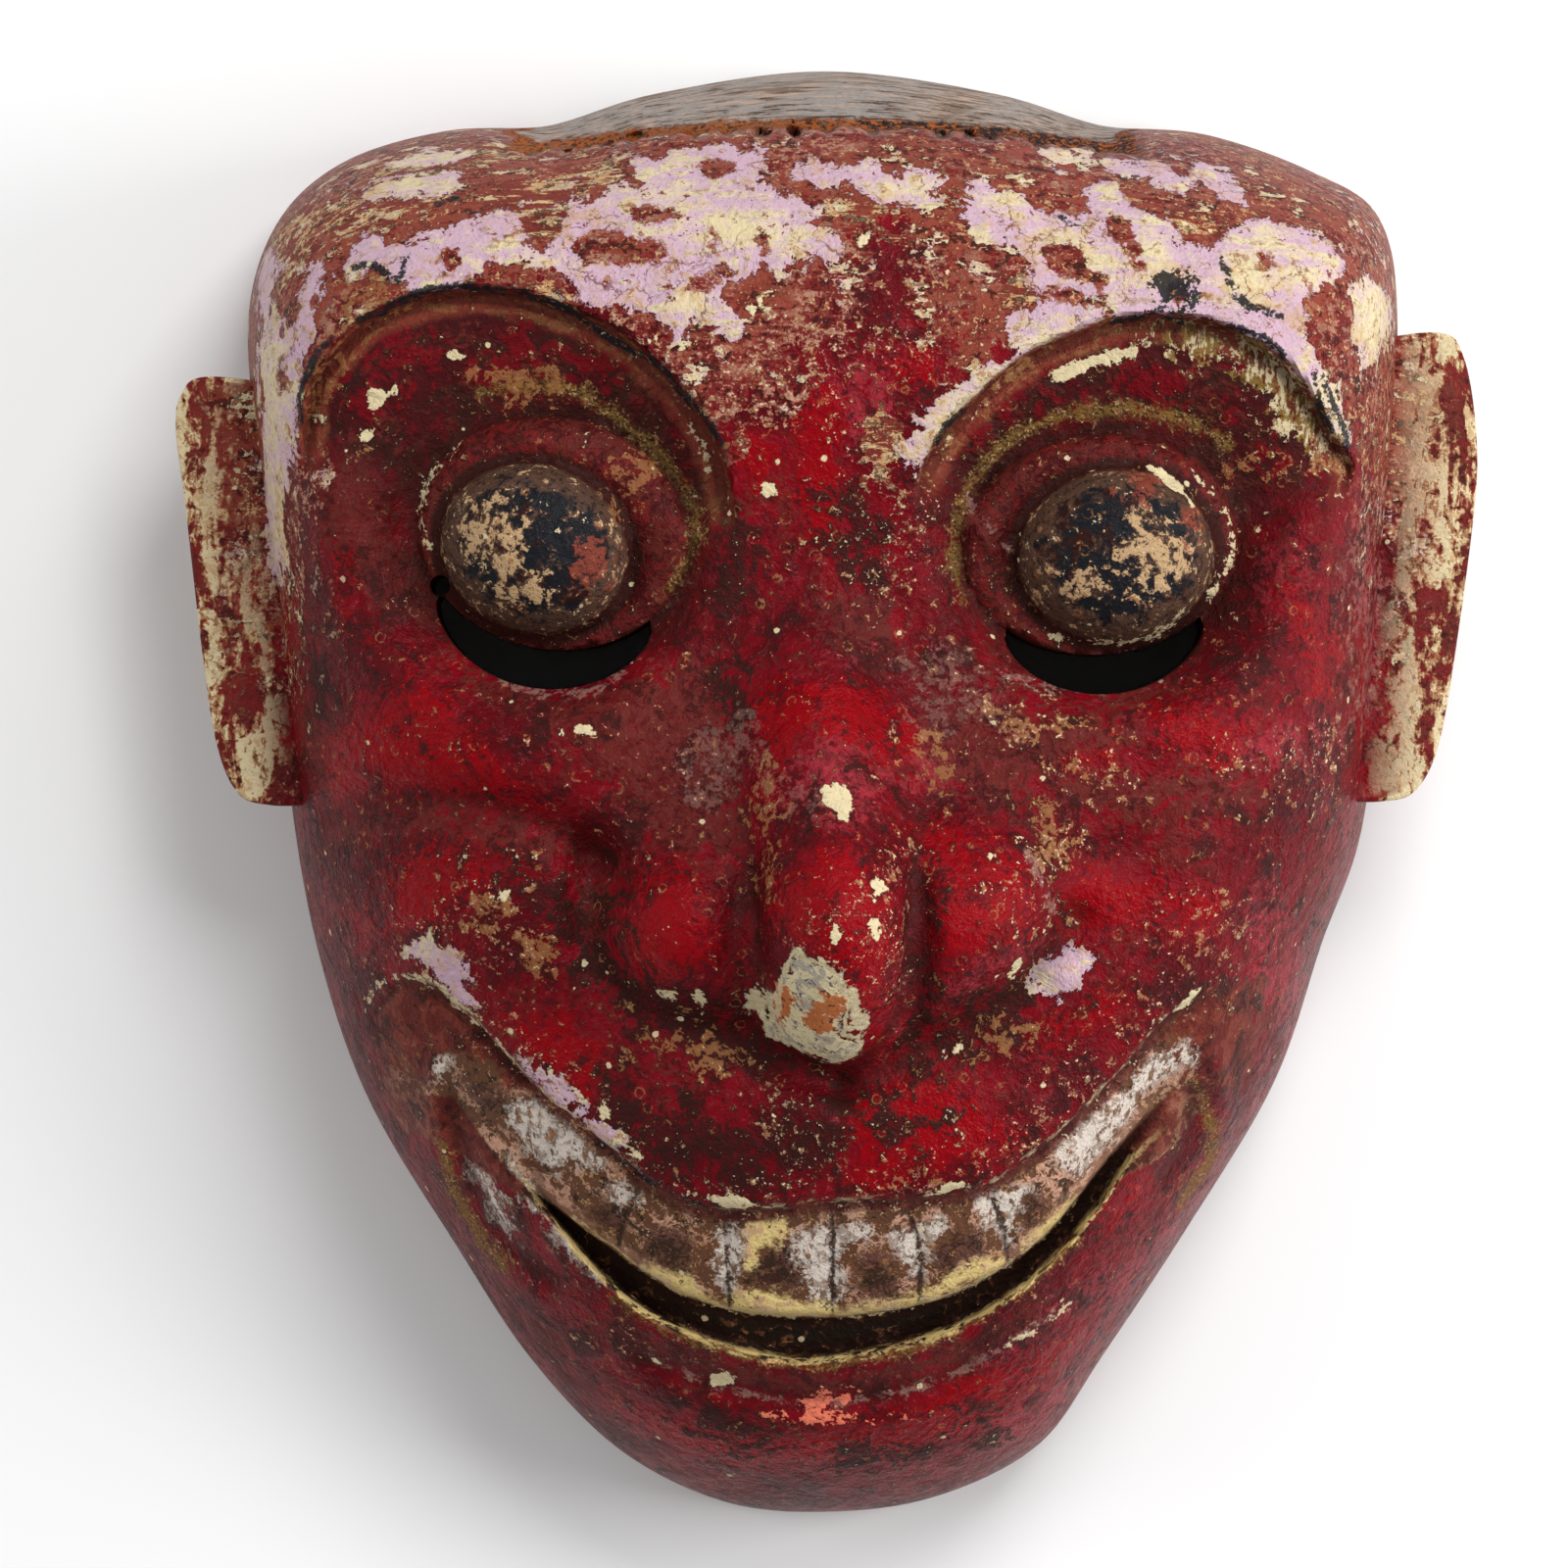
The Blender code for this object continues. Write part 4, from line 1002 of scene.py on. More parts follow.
    CHIP = (
        Area((-0.5, 0, 0.5, 0.5, 0.5, 1, 1.5, 1, 2.5, -1, 2.5, -2, 3.5, -3.5, 1.5, -4, 1, -2.5)),
        Area((5.5, -12, 7, -11.5, 7.5, -13, 6, -14.5)),
        Area((0, -19.5, 1.5, -17, 2, -19, 1, -20)),
        Oval(3.9, -18.2, 0.5, 0.5), Oval(6.2, -17.9, 0.4, 1.3, turn=15),
        Area((23.5, -24.5, 25, -22, 26, -22.5, 24.5, -24.5, 23, -25)),
        Oval(21.4, -8.7, 0.9, 0.6), Oval(-20.7, -26.7, 1.5, 0.8, turn=-20),
        Oval(-16.8, -27.4, 0.5, 1.5, turn=15), Oval(-60, 52.3, 1.3, 1.2), Oval(-67.6, 49.4, 1.1, 0.8),
        Oval(-61.3, 47.4, 1.1, 0.9, turn=20), Oval(-57.6, 53.2, 0.6, 0.4), Oval(-49.5, 57.7, 0.9, 0.5),
        Area((43, 43, 47.5, 40.5, 48.5, 39, 48.5, 37.5, 47.5, 39, 45.5, 40)),
        Area((29.5, 55, 33, 57, 37, 58.5, 41.5, 58.5, 41, 57.5, 36.5, 56.5, 29.5, 53.5)),
        Oval(-32, 46.1, 0.4, 0.4), Oval(-32.1, 47.9, 0.6, 0.4, turn=-40), Oval(-7.7, 39.8, 0.9, 1.1),
        Oval(-8.7, 64.9, 0.4, 0.4), Oval(-9.9, 63.6, 0.5, 0.4), Oval(-23.6, 59.3, 0.4, 0.4),
        Oval(-11.4, 51.5, 0.4, 0.4), Oval(15.5, -34.9, 0.5, 0.6), Oval(17.3, -33.7, 0.6, 0.6),
        Oval(-51.7, -8.3, 0.4, 0.4), Oval(-42.6, -13.6, 1.1, 0.5, turn=35),
        Oval(-25.7, -47.9, 1.9, 0.4, turn=-25), Oval(-29.6, -42.6, 0.7, 1.2, turn=20),
        Oval(-7.1, -42.7, 1.3, 0.3, turn=-35), Oval(-13.4, -54.2, 4.3, 0.7, turn=-8),
        Oval(-14.4, -79.2, 1.7, 0.8), Oval(-22.9, -76.7, 1, 0.4, turn=-20), Oval(4.8, 73, 1.1, 0.9),
        Oval(48, -28.2, 2.9, 0.4, turn=42), Oval(15.9, -52.7, 1.6, 0.6, turn=20),
        Oval(1.5, -1.1, 1.4, 2.3, turn=20), Oval(-35.4, 7.7, 0.5, 0.3), Oval(-32.2, 8.1, 0.9, 0.4),
    )
    EYEBALL_WORN = (
        Oval(-43.8, 34, 4.2, 5.2), Oval(-41.2, 27.2, 4, 2.4, turn=-20), Oval(43.2, 32, 4.6, 5.4),
        Oval(35, 27.5, 3, 1.6, turn=-15),
    )
    EYEBALL_BLACK = (
        Oval(-35.2, 32.4, 3.2, 5.6, turn=15), Oval(-37, 39, 5, 1.8), Oval(34.2, 37.2, 4.6, 3.4, turn=30),
        Oval(39, 24.2, 5.6, 2.2, turn=5), Oval(33.5, 30.5, 2.6, 2.6),
    )
    EYEBALL_RUST = (
        Oval(41.6, 40.9, 2.8, 1.8), Oval(47.6, 36, 1.4, 2), Oval(-30.5, 30, 2.2, 3.4),
    )
    LIP_CORNER = (
        Area((-60.5, -26.5, -52.5, -25, -37, -39.5, -42.5, -39.5, -46, -36.5, -52, -35.5, -54, -39.5,
            -58, -37)),
        Area((51, -26.5, 59.5, -25, 58.5, -35.5, 54.5, -42, 51.5, -37, 48.5, -33, 45, -33.5, 42.5, -33)),
    )
    TOOTH_DARK = (
        Oval(-20.5, -61.5, 3.4, 2.6, turn=-25), Oval(-7, -63.5, 4.2, 3.4), Oval(6.6, -64.3, 2.8, 3),
        Oval(17.6, -61.5, 3.2, 3, turn=25), Oval(27, -56, 2.4, 2.6, turn=40),
        Oval(-29.5, -57, 2.6, 1.6, turn=-40), Oval(-44.5, -41.5, 4.5, 1.6, turn=-45),
        Oval(-38.5, -46.5, 1.4, 3.4, turn=30), Oval(-12, -57.6, 3, 1, turn=-10),
    )
    SALMON = (
        Area((-5.5, -82, -1, -81.5, 3, -80.5, 4, -81, 3.5, -82.5, -1, -83, -4, -82.5)),
        Oval(0.2, -84.1, 3.5, 0.4),
    )
    TOOTH_WHITE = (
        Area((-43.5, -44, -41.5, -41.5, -38.5, -41, -33, -45, -29.5, -49.5, -30.5, -51.5, -34, -49.5,
            -36, -51.5, -38.5, -49.5)),
        Area((-29.5, -52.5, -27, -52, -24, -53.5, -24, -55.5, -27.5, -55)),
        Area((-42.5, -49.5, -31, -63, -27.5, -66, -30, -65.5, -34, -62, -41, -54, -42.5, -51)),
        Area((-48, -48.5, -46, -49.5, -42, -61, -43.5, -60, -47.5, -51.5)),
        Area((-53.5, -36, -50.5, -34.5, -49, -35.5, -51.5, -38.5, -53.5, -39)),
        Area((-15, -58, -9.5, -58, -12, -65, -12.5, -68.5, -14, -68.5, -15, -64)),
        Area((-5, -59, 2, -57, 2, -69, -1, -69.5, -1.5, -64, -4, -62.5)),
        Area((-0.5, -59, 4.5, -57.5, 6.5, -58.5, 2.5, -60.5, 1.5, -65, 1.5, -69.5, -2.5, -69.5, -3.5, -62.5)),
        Area((8, -59, 15.5, -57, 16, -58.5, 13.5, -60, 13, -65, 11, -64)),
        Area((19, -53.5, 23.5, -52.5, 26.5, -53, 25.5, -58, 24, -61.5, 21, -57)),
        Area((30.5, -48, 33.5, -44, 38, -42, 43, -36, 46, -34.5, 47.5, -36, 42, -40.5, 40, -44.5, 34, -51,
            31.5, -50)),
        Oval(48.2, -34.7, 1.9, 1.8),
    )
    TOOTH_CREAM = (
        Area((-24, -64, -19, -65, -15, -68, -7.5, -66.5, -3, -68.5, 2, -69, 2, -70.5, -10, -70, -15, -69,
            -23, -65.5)),
        Area((2, -69.5, 9, -68.5, 20.5, -63, 23.5, -62.5, 22.5, -64.5, 13, -68.5, 6.5, -70, 2.5, -70.5)),
        Area((26.5, -60.5, 33.5, -54.5, 33, -56.5, 29.5, -59.5, 26.5, -61.5)),
        Area((-34, -57.5, -26, -63.5, -27, -64.5, -31, -62, -34, -59.5)),
        Area((-10.5, -58, -5.5, -57, -5.5, -59, -8.5, -61, -10.5, -64)),
    )
    OLIVE = (
        Oval(-50.6, -41.1, 1.2, 2.1, turn=-15),
        Area((43.5, -39.5, 46.5, -39, 48, -43, 46.5, -46, 43.5, -45, 41.5, -46)),
    )

    def inward(self, x: Array, y: Array) -> Array:
        """Return how far inside the nearest of the patches each place is, in millimetres."""
        return np.max([shape.inward(x, y) for shape in self.value], axis=0)


class Stroke(Enum):
    """Thin lines of paint, wear and dust, in millimetres."""

    SOOT = (
        Trail((-69.9, 49.1, -70.3, 52.3, -69.3, 55, -68, 57.7, -65.8, 59.9)),
        Trail((-62.2, 62.4, -59, 63.7, -55.8, 65.3, -52.6, 66.4, -48.3, 66.7, -44, 66.4, -39.7, 65.6,
            -36.5, 64.8, -32.7, 62.7, -29.5, 60.5, -26.9, 58.9, -23.6, 57.3, -21, 55.2, -19.4, 53,
            -17.2, 50.4, -15.1, 47.7, -13.2, 45)),
        Trail((-62.8, 69.2, -60.7, 70, -58.5, 68.6, -56.9, 67.6, -55.6, 71.4)),
        Trail((-51.8, 78.3, -49.4, 79.1)),
        Trail((38, 62.1, 40.2, 62.4, 42.8, 63.2, 45, 63.7, 47.1, 62.9)),
        Trail((52.3, 70.3, 53.1, 68.1, 54.7, 65.5, 56.3, 63.9, 60.1, 62.8)),
        Trail((53.2, 61.8, 55.9, 60.7, 58.6, 59.4, 60.7, 57.5)),
        Trail((64.4, 55.5, 65.2, 52.3, 66.3, 49.6, 67.1, 48)),
        Trail((65.8, 55, 67.4, 51.3, 69.1, 47.5, 69.6, 45.3)),
        Trail((18.2, 50.4, 16.1, 48.7, 14.5, 46.1)),
        Trail((31, 76.2, 33.1, 75.1)),
        Trail((53.9, 65.5, 55.3, 64.1, 57.4, 63.6)),
        Trail((-22.8, -51.7, -20.2, -53.4, -17.3, -54.6, -12.4, -55.1)),
        Trail((-30.8, -46.5, -26.9, -49.4, -22.8, -52.3)),
    )
    OLIVE = (
        Trail((-46.4, 53, -40, 53.7, -32.9, 53, -27.6, 49.2, -22.7, 44.9, -18.9, 40.1, -17.3, 34.1,
            -18.9, 29.8, -21.6, 25.5)),
        Trail((17.6, 25.5, 16.9, 32, 18.4, 39.5, 22.1, 44.9, 27.5, 48.7, 34, 50.3, 42.6, 50.6, 49.7, 48.7,
            53.4, 46)),
        Trail((-48.7, -39.7, -50.4, -42.6, -51.8, -46.5, -51.1, -50.9, -49.6, -55.8, -47.2, -60.2,
            -43.8, -64.6)),
        Trail((48.8, -38.7, 51.2, -43, 52.5, -47.9, 51.2, -51.8, 48.3, -55.7)),
        Trail((-28, -67.6, -24.1, -70, -17.3, -73.5, -7.6, -75.9, 2.1, -76.6)),
        Trail((-0.5, -76.6, 9.2, -74.8, 16.5, -71.9, 22.8, -68.5, 28.6, -64.2, 33, -59.8)),
    )
    CREAM = (
        Trail((-49, 45.6, -52.1, 43, -53.7, 39.9, -54.1, 36.1, -52.9, 32.3)),
        Trail((-18.4, 48.9, -16.2, 44.8, -15.4, 41.1)),
        Trail((-62.1, -29.6, -60.9, -26.7, -58.5, -25, -54.6, -24.9, -51.7, -26.3, -48.8, -28.9, -45.4, -32.1,
            -42, -35.5)),
        Trail((26.2, 21.8, 31.5, 20.2, 36.9, 19.5, 43.3, 20.7, 47.5, 23.7)),
        Trail((48.9, 42.1, 52.1, 39.2, 53.7, 35.4, 54, 31.2, 50.8, 25.3)),
        Trail((-33.8, -57.3, -28.9, -60.9, -25.1, -63.6, -20.2, -66.7, -14.9, -68.9, -9.6, -69.9,
            -1.3, -70.4)),
        Trail((1.9, -70.1, 9.2, -69.4, 15.5, -67.7, 22.7, -64.3, 28.5, -60.2, 33.4, -55.3)),
        Trail((23.8, -74.7, 28.7, -72.3, 32.9, -69.1)),
    )
    TOOTH_GAP = tuple(Trail(gap) for gap in TOOTH_GAPS) + (
        Trail((-25, -53, -27, -57, -28, -61)),
    )
    RUBBED = (
        Trail((-24, -76, -15, -79.8, -2, -82.2, 10, -80.8, 20, -76.8, 31, -70.5)),
        Trail((26.2, -7.8, 28, -11.5, 29.8, -15.6)),
        Trail((-49.2, 21.1, -45.1, 16.8, -40.8, 13.8, -35.5, 12.8, -30.1, 13.8, -26.9, 15.5)),
        Trail((23.1, 15.7, 28.4, 13.8, 33.8, 13.3, 39.2, 13.8, 43.5, 15.7)),
        Trail((18.6, 39.5, 20, 36.8, 22.1, 34.1, 24.2, 32)),
    )

    def gap(self, x: Array, y: Array) -> Array:
        """Return the distance of each place from the nearest line, in millimetres."""
        return np.min([trail.gap(x, y) for trail in self.value], axis=0)


@dataclass(frozen=True)
class Regions:
    """Writes on the mesh how near each place is to the patches and lines of the face."""

    form: FaceForm
    limit: float = 8.0
    mouth_depth: float = 0.3
    crown_margin: float = 6.0
    crown_lump: float = 6.0
    crown_fray: float = 2.0
    inner_drop: float = 4.0
    inner_share: float = 0.97
    ear_share: float = 1.004
    forehead: Trail = Trail((
        (-82, 4), (-74, 14), (-69, 42), (-55, 62), (-30, 62), (-21, 52), (-14, 44), (-9, 50),
        (0, 58), (4, 66), (9, 74), (14, 62), (18, 52), (22, 55), (36, 62), (55, 62), (66, 52),
        (70, 46), (75, 36), (82, 26)))

    def crevice(self, x: Array, y: Array, step: float = 1.6) -> Array:
        """Return how much lower than its surroundings each place is, in millimetres."""
        around = [self.form.carved_height(x + step * math.cos(turn), y + step * math.sin(turn))
                  for turn in np.arange(0.0, 2.0 * math.pi, math.pi / 3.0)]
        return np.mean(around, axis=0) - self.form.carved_height(x, y)

    def fields(self, places: Array) -> dict[str, Array]:
        """Return every field by name.

        Args:
            places: Places of the mesh's points, in millimetres.

        Returns:
            One value for each point and name.
        """
        x, y, z = places.T
        form = self.form
        share = np.hypot(x, y) / form.outline_radius(np.arctan2(y, x))
        outer = form.carved_height(x, y) * form.turned_back(np.clip(share, 0.0, 1.0), y)
        fields = {patch.name.lower(): patch.inward(x, y) for patch in Patch}
        fields |= {stroke.name.lower() + "_line": stroke.gap(x, y) for stroke in Stroke}
        fields["forehead"] = self.forehead.above(x, y)
        depths = [(eye.inward(x, y), eye.under_brow(x, y) * (eye.inward(x, y) > -self.limit),
                   eye.ring.inward(x, y), eye.ball.inward(x, y)) for eye in form.eyes]
        fields |= dict(zip(("hollow", "brow", "ring", "ball"), np.max(depths, axis=0)))
        fields["lip"] = form.grin.lip.above(x, y)
        fields["teeth"] = form.grin.teeth.above(x, y)
        fields["groove"] = form.grin.groove.above(x, y)
        fields["grin"] = form.grin.sides(x) * (form.grin.depth(x, y) > self.mouth_depth)
        fields["slit"] = form.grin.slit(x)
        fray = self.crown_fray * lumps(x + z, y + z, self.crown_lump, 41)
        to_side = form.ledge.half_width + self.crown_margin - np.abs(x) + fray
        fields["crown"] = np.minimum(form.ledge.behind(x, y), to_side)
        fields["across"] = x
        fields["crevice"] = self.crevice(x, y)
        inside = (z < outer - self.inner_drop) & (share < self.inner_share)
        fields["inside"] = np.where(inside, 1.0, 0.0)
        fields["ear"] = np.where(share > self.ear_share, 1.0, 0.0)
        return {name: np.clip(value, -self.limit, self.limit) for name, value in fields.items()}

    def write(self, mesh: bpy.types.Mesh) -> None:
        """Write the fields on a mesh as attributes of its points."""
        places = np.empty(len(mesh.vertices) * 3)
        mesh.vertices.foreach_get("co", places)
        for name, values in self.fields(places.reshape(-1, 3) / MM).items():
            layer = mesh.attributes.new(name, "FLOAT", "POINT")
            layer.data.foreach_set("value", values.astype(np.float32))


@dataclass
class Coat:
    """The surface as it is built up, coat by coat: its colour, its roughness and its relief."""

    tree: Tree
    colour: object
    roughness: object
    relief: object

    def lay(self, colour: object, share: object, roughness: object = None, relief: object = None) -> None:
        """Lay one more coat over the surface.

        Args:
            colour: The coat's colour.
            share: How much of it covers each place.
            roughness: Its roughness, if it has one of its own.
            relief: How much it raises the surface, in millimetres.
        """
        self.colour = self.tree.mix(self.colour, colour, share)
        if roughness is not None:
            self.roughness = self.roughness + (roughness - self.roughness) * share
        if relief is not None:
            self.relief = self.relief + share * relief


@dataclass
class Weather:
    """The unevenness that every coat shares: clouds, fraying, mottling, grit and streaks."""

    tree: Tree
    place: Socket = field(init=False)
    cloud: Value = field(init=False)
    wear: Value = field(init=False)
    mottle: Value = field(init=False)
    fine: Value = field(init=False)
    grit: Value = field(init=False)
    streak: Value = field(init=False)
    fibre: Value = field(init=False)

    def __post_init__(self) -> None:
        """Make the patterns."""
        tree = self.tree
        place = tree.node("ShaderNodeTexCoord").outputs["Object"]
        self.place = tree.node("ShaderNodeVectorMath", {"operation": "SCALE"},
                               {0: place, "Scale": 1.0 / MM}).outputs[0]
        moved = tree.stretched(self.place, (1.0, 1.0, 1.0), 31.0)
        sideways = tree.stretched(self.place, (0.2, 1.0, 1.0), 5.0)
        upright = tree.stretched(self.place, (1.0, 0.18, 1.0))
        self.cloud = tree.noise(self.place, size=14.0, detail=2.0, roughness=0.6)
        self.wear = tree.noise(self.place, size=5.0, detail=4.0, roughness=0.66, twist=0.5)
        self.mottle = tree.noise(moved, size=3.0, detail=4.0, roughness=0.62, twist=0.6)
        self.fine = tree.noise(moved, size=1.2, detail=3.0, roughness=0.62, twist=0.5)
        self.grit = tree.noise(self.place, size=0.42, detail=1.0, roughness=0.7)
        self.streak = tree.noise(sideways, size=1.5, detail=4.0, roughness=0.7)
        self.fibre = tree.noise(upright, size=0.8, detail=3.0, roughness=0.7)

    def read(self, name: str) -> Value:
        """Return one of the fields written on the mesh."""
        node = self.tree.node("ShaderNodeAttribute", {"attribute_name": name})
        return Value(self.tree, node.outputs["Fac"])

    def fray(self) -> Value:
        """Return how far the edges of the coats are eaten away, in millimetres."""
        return self.wear * 1.9 + self.mottle * 1.5 + self.fine * 1.3 + self.grit * 0.7

    def patch(self, name: str, fray: float = 1.0, soft: float = 0.2) -> Value:
        """Return 1 on a patch and 0 off it, with an edge that is frayed by a share and soft."""
        return (self.read(name) + self.fray() * fray).above(0.0, soft)

    def line(self, name: str, width: float, fray: float = 1.0, soft: float = 0.2) -> Value:
        """Return 1 on the strokes of one kind and 0 off them, with a half width in millimetres."""
        edge = self.mottle * 0.5 + self.fine * 0.5 + self.grit * 0.3
        return (self.read(name) * -1.0 + edge * fray).above(-width, soft)

    def cracks(self, size: float, turn: float) -> Value:
        """Return thin cracks between flakes of a size in millimetres, laid at an angle in degrees."""
        tree = self.tree
        place = tree.stretched(self.place, (1.0, 0.7, 1.0), turn)
        shake = tree.node("ShaderNodeCombineXYZ", None, {0: self.mottle * 1.5, 1: self.wear * 1.5})
        shaken = tree.shifted(place, shake.outputs[0])
        flakes = tree.cells(shaken, size, "DISTANCE_TO_EDGE")
        return (Value(tree, flakes.outputs["Distance"]) * -1.0 + self.grit * 0.006).above(-0.014, 0.008)

    def rings(self) -> Value:
        """Return streaks that run round the eye hollows, between brow and lid."""
        tree = self.tree
        between_edges = self.read("hollow") - self.read("ring")
        across = tree.node("ShaderNodeCombineXYZ", None, {2: between_edges}).outputs[0]
        along = tree.stretched(self.place, (0.16, 0.16, 0.0))
        return tree.noise(tree.shifted(along, across), size=1.3, detail=4.0, roughness=0.7)


@dataclass(frozen=True)
class WornPaint:
    """Layers of old paint over wood: their colours, how rough each finish is, and their relief."""

    name: str = "worn_paint"
    crimson: Colour = srgb(116, 10, 22)
    deep_red: Colour = srgb(86, 8, 16)
    maroon: Colour = srgb(66, 18, 20)
    brown: Colour = srgb(94, 36, 31)
    dark: Colour = srgb(48, 24, 20)
    # Bright glossy red, also used as painted highlight.
    bright: Colour = srgb(136, 4, 14)
    # Pink of the painted sheen.
    rosy_sheen: Colour = srgb(166, 50, 62)
    rust: Colour = srgb(130, 60, 46)
    rust_red: Colour = srgb(110, 32, 30)
    tan: Colour = srgb(186, 146, 102)
    cream: Colour = srgb(210, 194, 155)
    lilac: Colour = srgb(192, 161, 176)
    ochre: Colour = srgb(150, 100, 62)
    olive: Colour = srgb(128, 102, 50)
    soot: Colour = srgb(26, 30, 34)
    eyeball: Colour = srgb(27, 28, 32)
    eyeball_brown: Colour = srgb(92, 66, 52)
    eyeball_tan: Colour = srgb(182, 150, 112)
    tooth_brown: Colour = srgb(98, 64, 46)
    tooth_pink: Colour = srgb(192, 146, 122)
    tooth_dark: Colour = srgb(44, 32, 26)
    tooth_white: Colour = srgb(214, 202, 190)
    tooth_grey: Colour = srgb(158, 144, 134)
    tooth_cream: Colour = srgb(222, 196, 130)
    groove: Colour = srgb(36, 28, 23)
    wood_grey: Colour = srgb(150, 142, 136)
    wood_brown: Colour = srgb(112, 82, 56)
    wood_orange: Colour = srgb(178, 92, 36)
    salmon: Colour = srgb(222, 118, 92)
    rubbed: Colour = srgb(140, 102, 94)
    inner_wood: Colour = srgb(104, 76, 52)
    # Pinkish red of the lip's underside, partly painted highlight.
    lip_rim: Colour = srgb(146, 70, 64)
    fleck: Colour = srgb(196, 158, 132)
    glossy: float = 0.18
    lacquered: float = 0.3
    glazed: float = 0.32
    satin: float = 0.4
    old_satin: float = 0.42
    eggshell: float = 0.44
    chalky: float = 0.46
    dull: float = 0.5
    scraped: float = 0.55
    scuffed: float = 0.6
    dry: float = 0.7
    shine: float = 0.06
    pit_depth: float = 0.1
    coat_thickness: float = 0.1
    chip_depth: float = 0.12
    grit_height: float = 0.025
    splinter_height: float = 0.3
    grain_height: float = 0.14

    def build(self) -> bpy.types.Material:
        """Build the material."""
        material = bpy.data.materials.new(self.name)
        material.use_nodes = True
        shader = material.node_tree.nodes["Principled BSDF"]
        shader.inputs["Specular IOR Level"].default_value = self.shine
        tree = Tree(material.node_tree.nodes, material.node_tree.links)
        weather = Weather(tree)
        coat = Coat(tree, self.crimson, self.lacquered + weather.fine * 0.08,
                    weather.fine * 0.06 + weather.mottle * 0.1 + weather.wear * 0.16)
        for lay in (self.lay_red, self.lay_forehead, self.lay_sockets, self.lay_eyeballs,
                    self.lay_teeth, self.lay_lips, self.lay_specks, self.lay_chips,
                    self.lay_ears, self.lay_wood):
            lay(coat, weather)
        coat.relief = coat.relief + weather.grit * self.grit_height
        tree.feed(shader.inputs["Base Color"], coat.colour)
        tree.feed(shader.inputs["Roughness"], coat.roughness)
        bump = tree.node("ShaderNodeBump", None, {"Strength": 1.0, "Distance": MM, "Height": coat.relief})
        tree.feed(shader.inputs["Normal"], bump.outputs[0])
        return material

    def lay_red(self, coat: Coat, weather: Weather) -> None:
        """Lay the reds and browns of the face.

        Args:
            coat: The surface so far.
            weather: The shared unevenness.
        """
        cloud, wear, mottle = weather.cloud, weather.wear, weather.mottle
        fine, grit = weather.fine, weather.grit
        coat.lay(self.deep_red, (cloud * 0.9 + wear * 0.4).above(0.04, 0.45))
        # Painted pink sheen on its patches.
        coat.lay(self.rosy_sheen, weather.patch("rosy_sheen", 2.0, 1.6) * (0.65 + mottle * 0.5))
        coat.lay(self.brown, weather.patch("brown", 1.8, 0.8) * (0.85 + fine * 0.4), self.eggshell)
        stains = (wear * 0.8 - mottle * 0.6 + fine * 0.3 + cloud * 0.3).above(0.3, 0.3)
        coat.lay(self.maroon, stains * 0.85)
        smears = (mottle * 0.8 + fine * 0.6 - cloud * 0.6).above(0.38, 0.26)
        coat.lay(self.brown, smears * 0.75, self.chalky)
        # Small flecks of the painted pink sheen, at random.
        coat.lay(self.rosy_sheen, (fine * 0.8 + grit * 0.5 - mottle * 0.4).above(0.62, 0.22) * 0.35)
        coat.lay(self.deep_red, (mottle - fine * 0.3).above(0.3, 0.26) * 0.6)
        # Bright glossy red paint, with painted highlight on the lit tops of the forms.
        bright = weather.patch("bright", 1.6, 0.5)
        coat.lay(self.bright, bright * 0.92, self.glossy)
        faded = bright * (wear * 0.7 + mottle * 0.5 + cloud * 0.4).above(0.32, 0.34)
        coat.lay(self.deep_red, faded * 0.85)
        # Dark paint and painted shade on the dark patches.
        shade = coat.tree.mix(self.maroon, self.dark, (fine * 0.7 + wear * 0.7).above(0.0, 0.4) * 0.85)
        coat.lay(shade, weather.patch("dark", 1.6, 1.2) * (0.95 + fine * 0.3), self.dull)
        cracks = weather.cracks(5.5, 21.0) * (cloud + fine * 0.4).above(0.0, 0.3)
        coat.lay(self.dark, cracks * 0.6, self.dull)
        pits = (grit * 0.35 + wear * 0.7 - fine * 0.9 - bright * 0.25).above(0.6, 0.08)
        coat.lay(self.dark, pits * 0.75, self.dull, -self.pit_depth)
        rubbed = weather.patch("rubbed", 1.8, 1.2) * (fine + grit * 0.5).above(0.0, 0.5)
        coat.lay(self.rubbed, rubbed * 0.42, self.scraped)
        bits = (grit * 0.5 + fine * 0.9 + wear * 0.6 - bright * 0.2).above(1.12, 0.06)
        coat.lay(self.tan, bits * 0.7, self.dull)

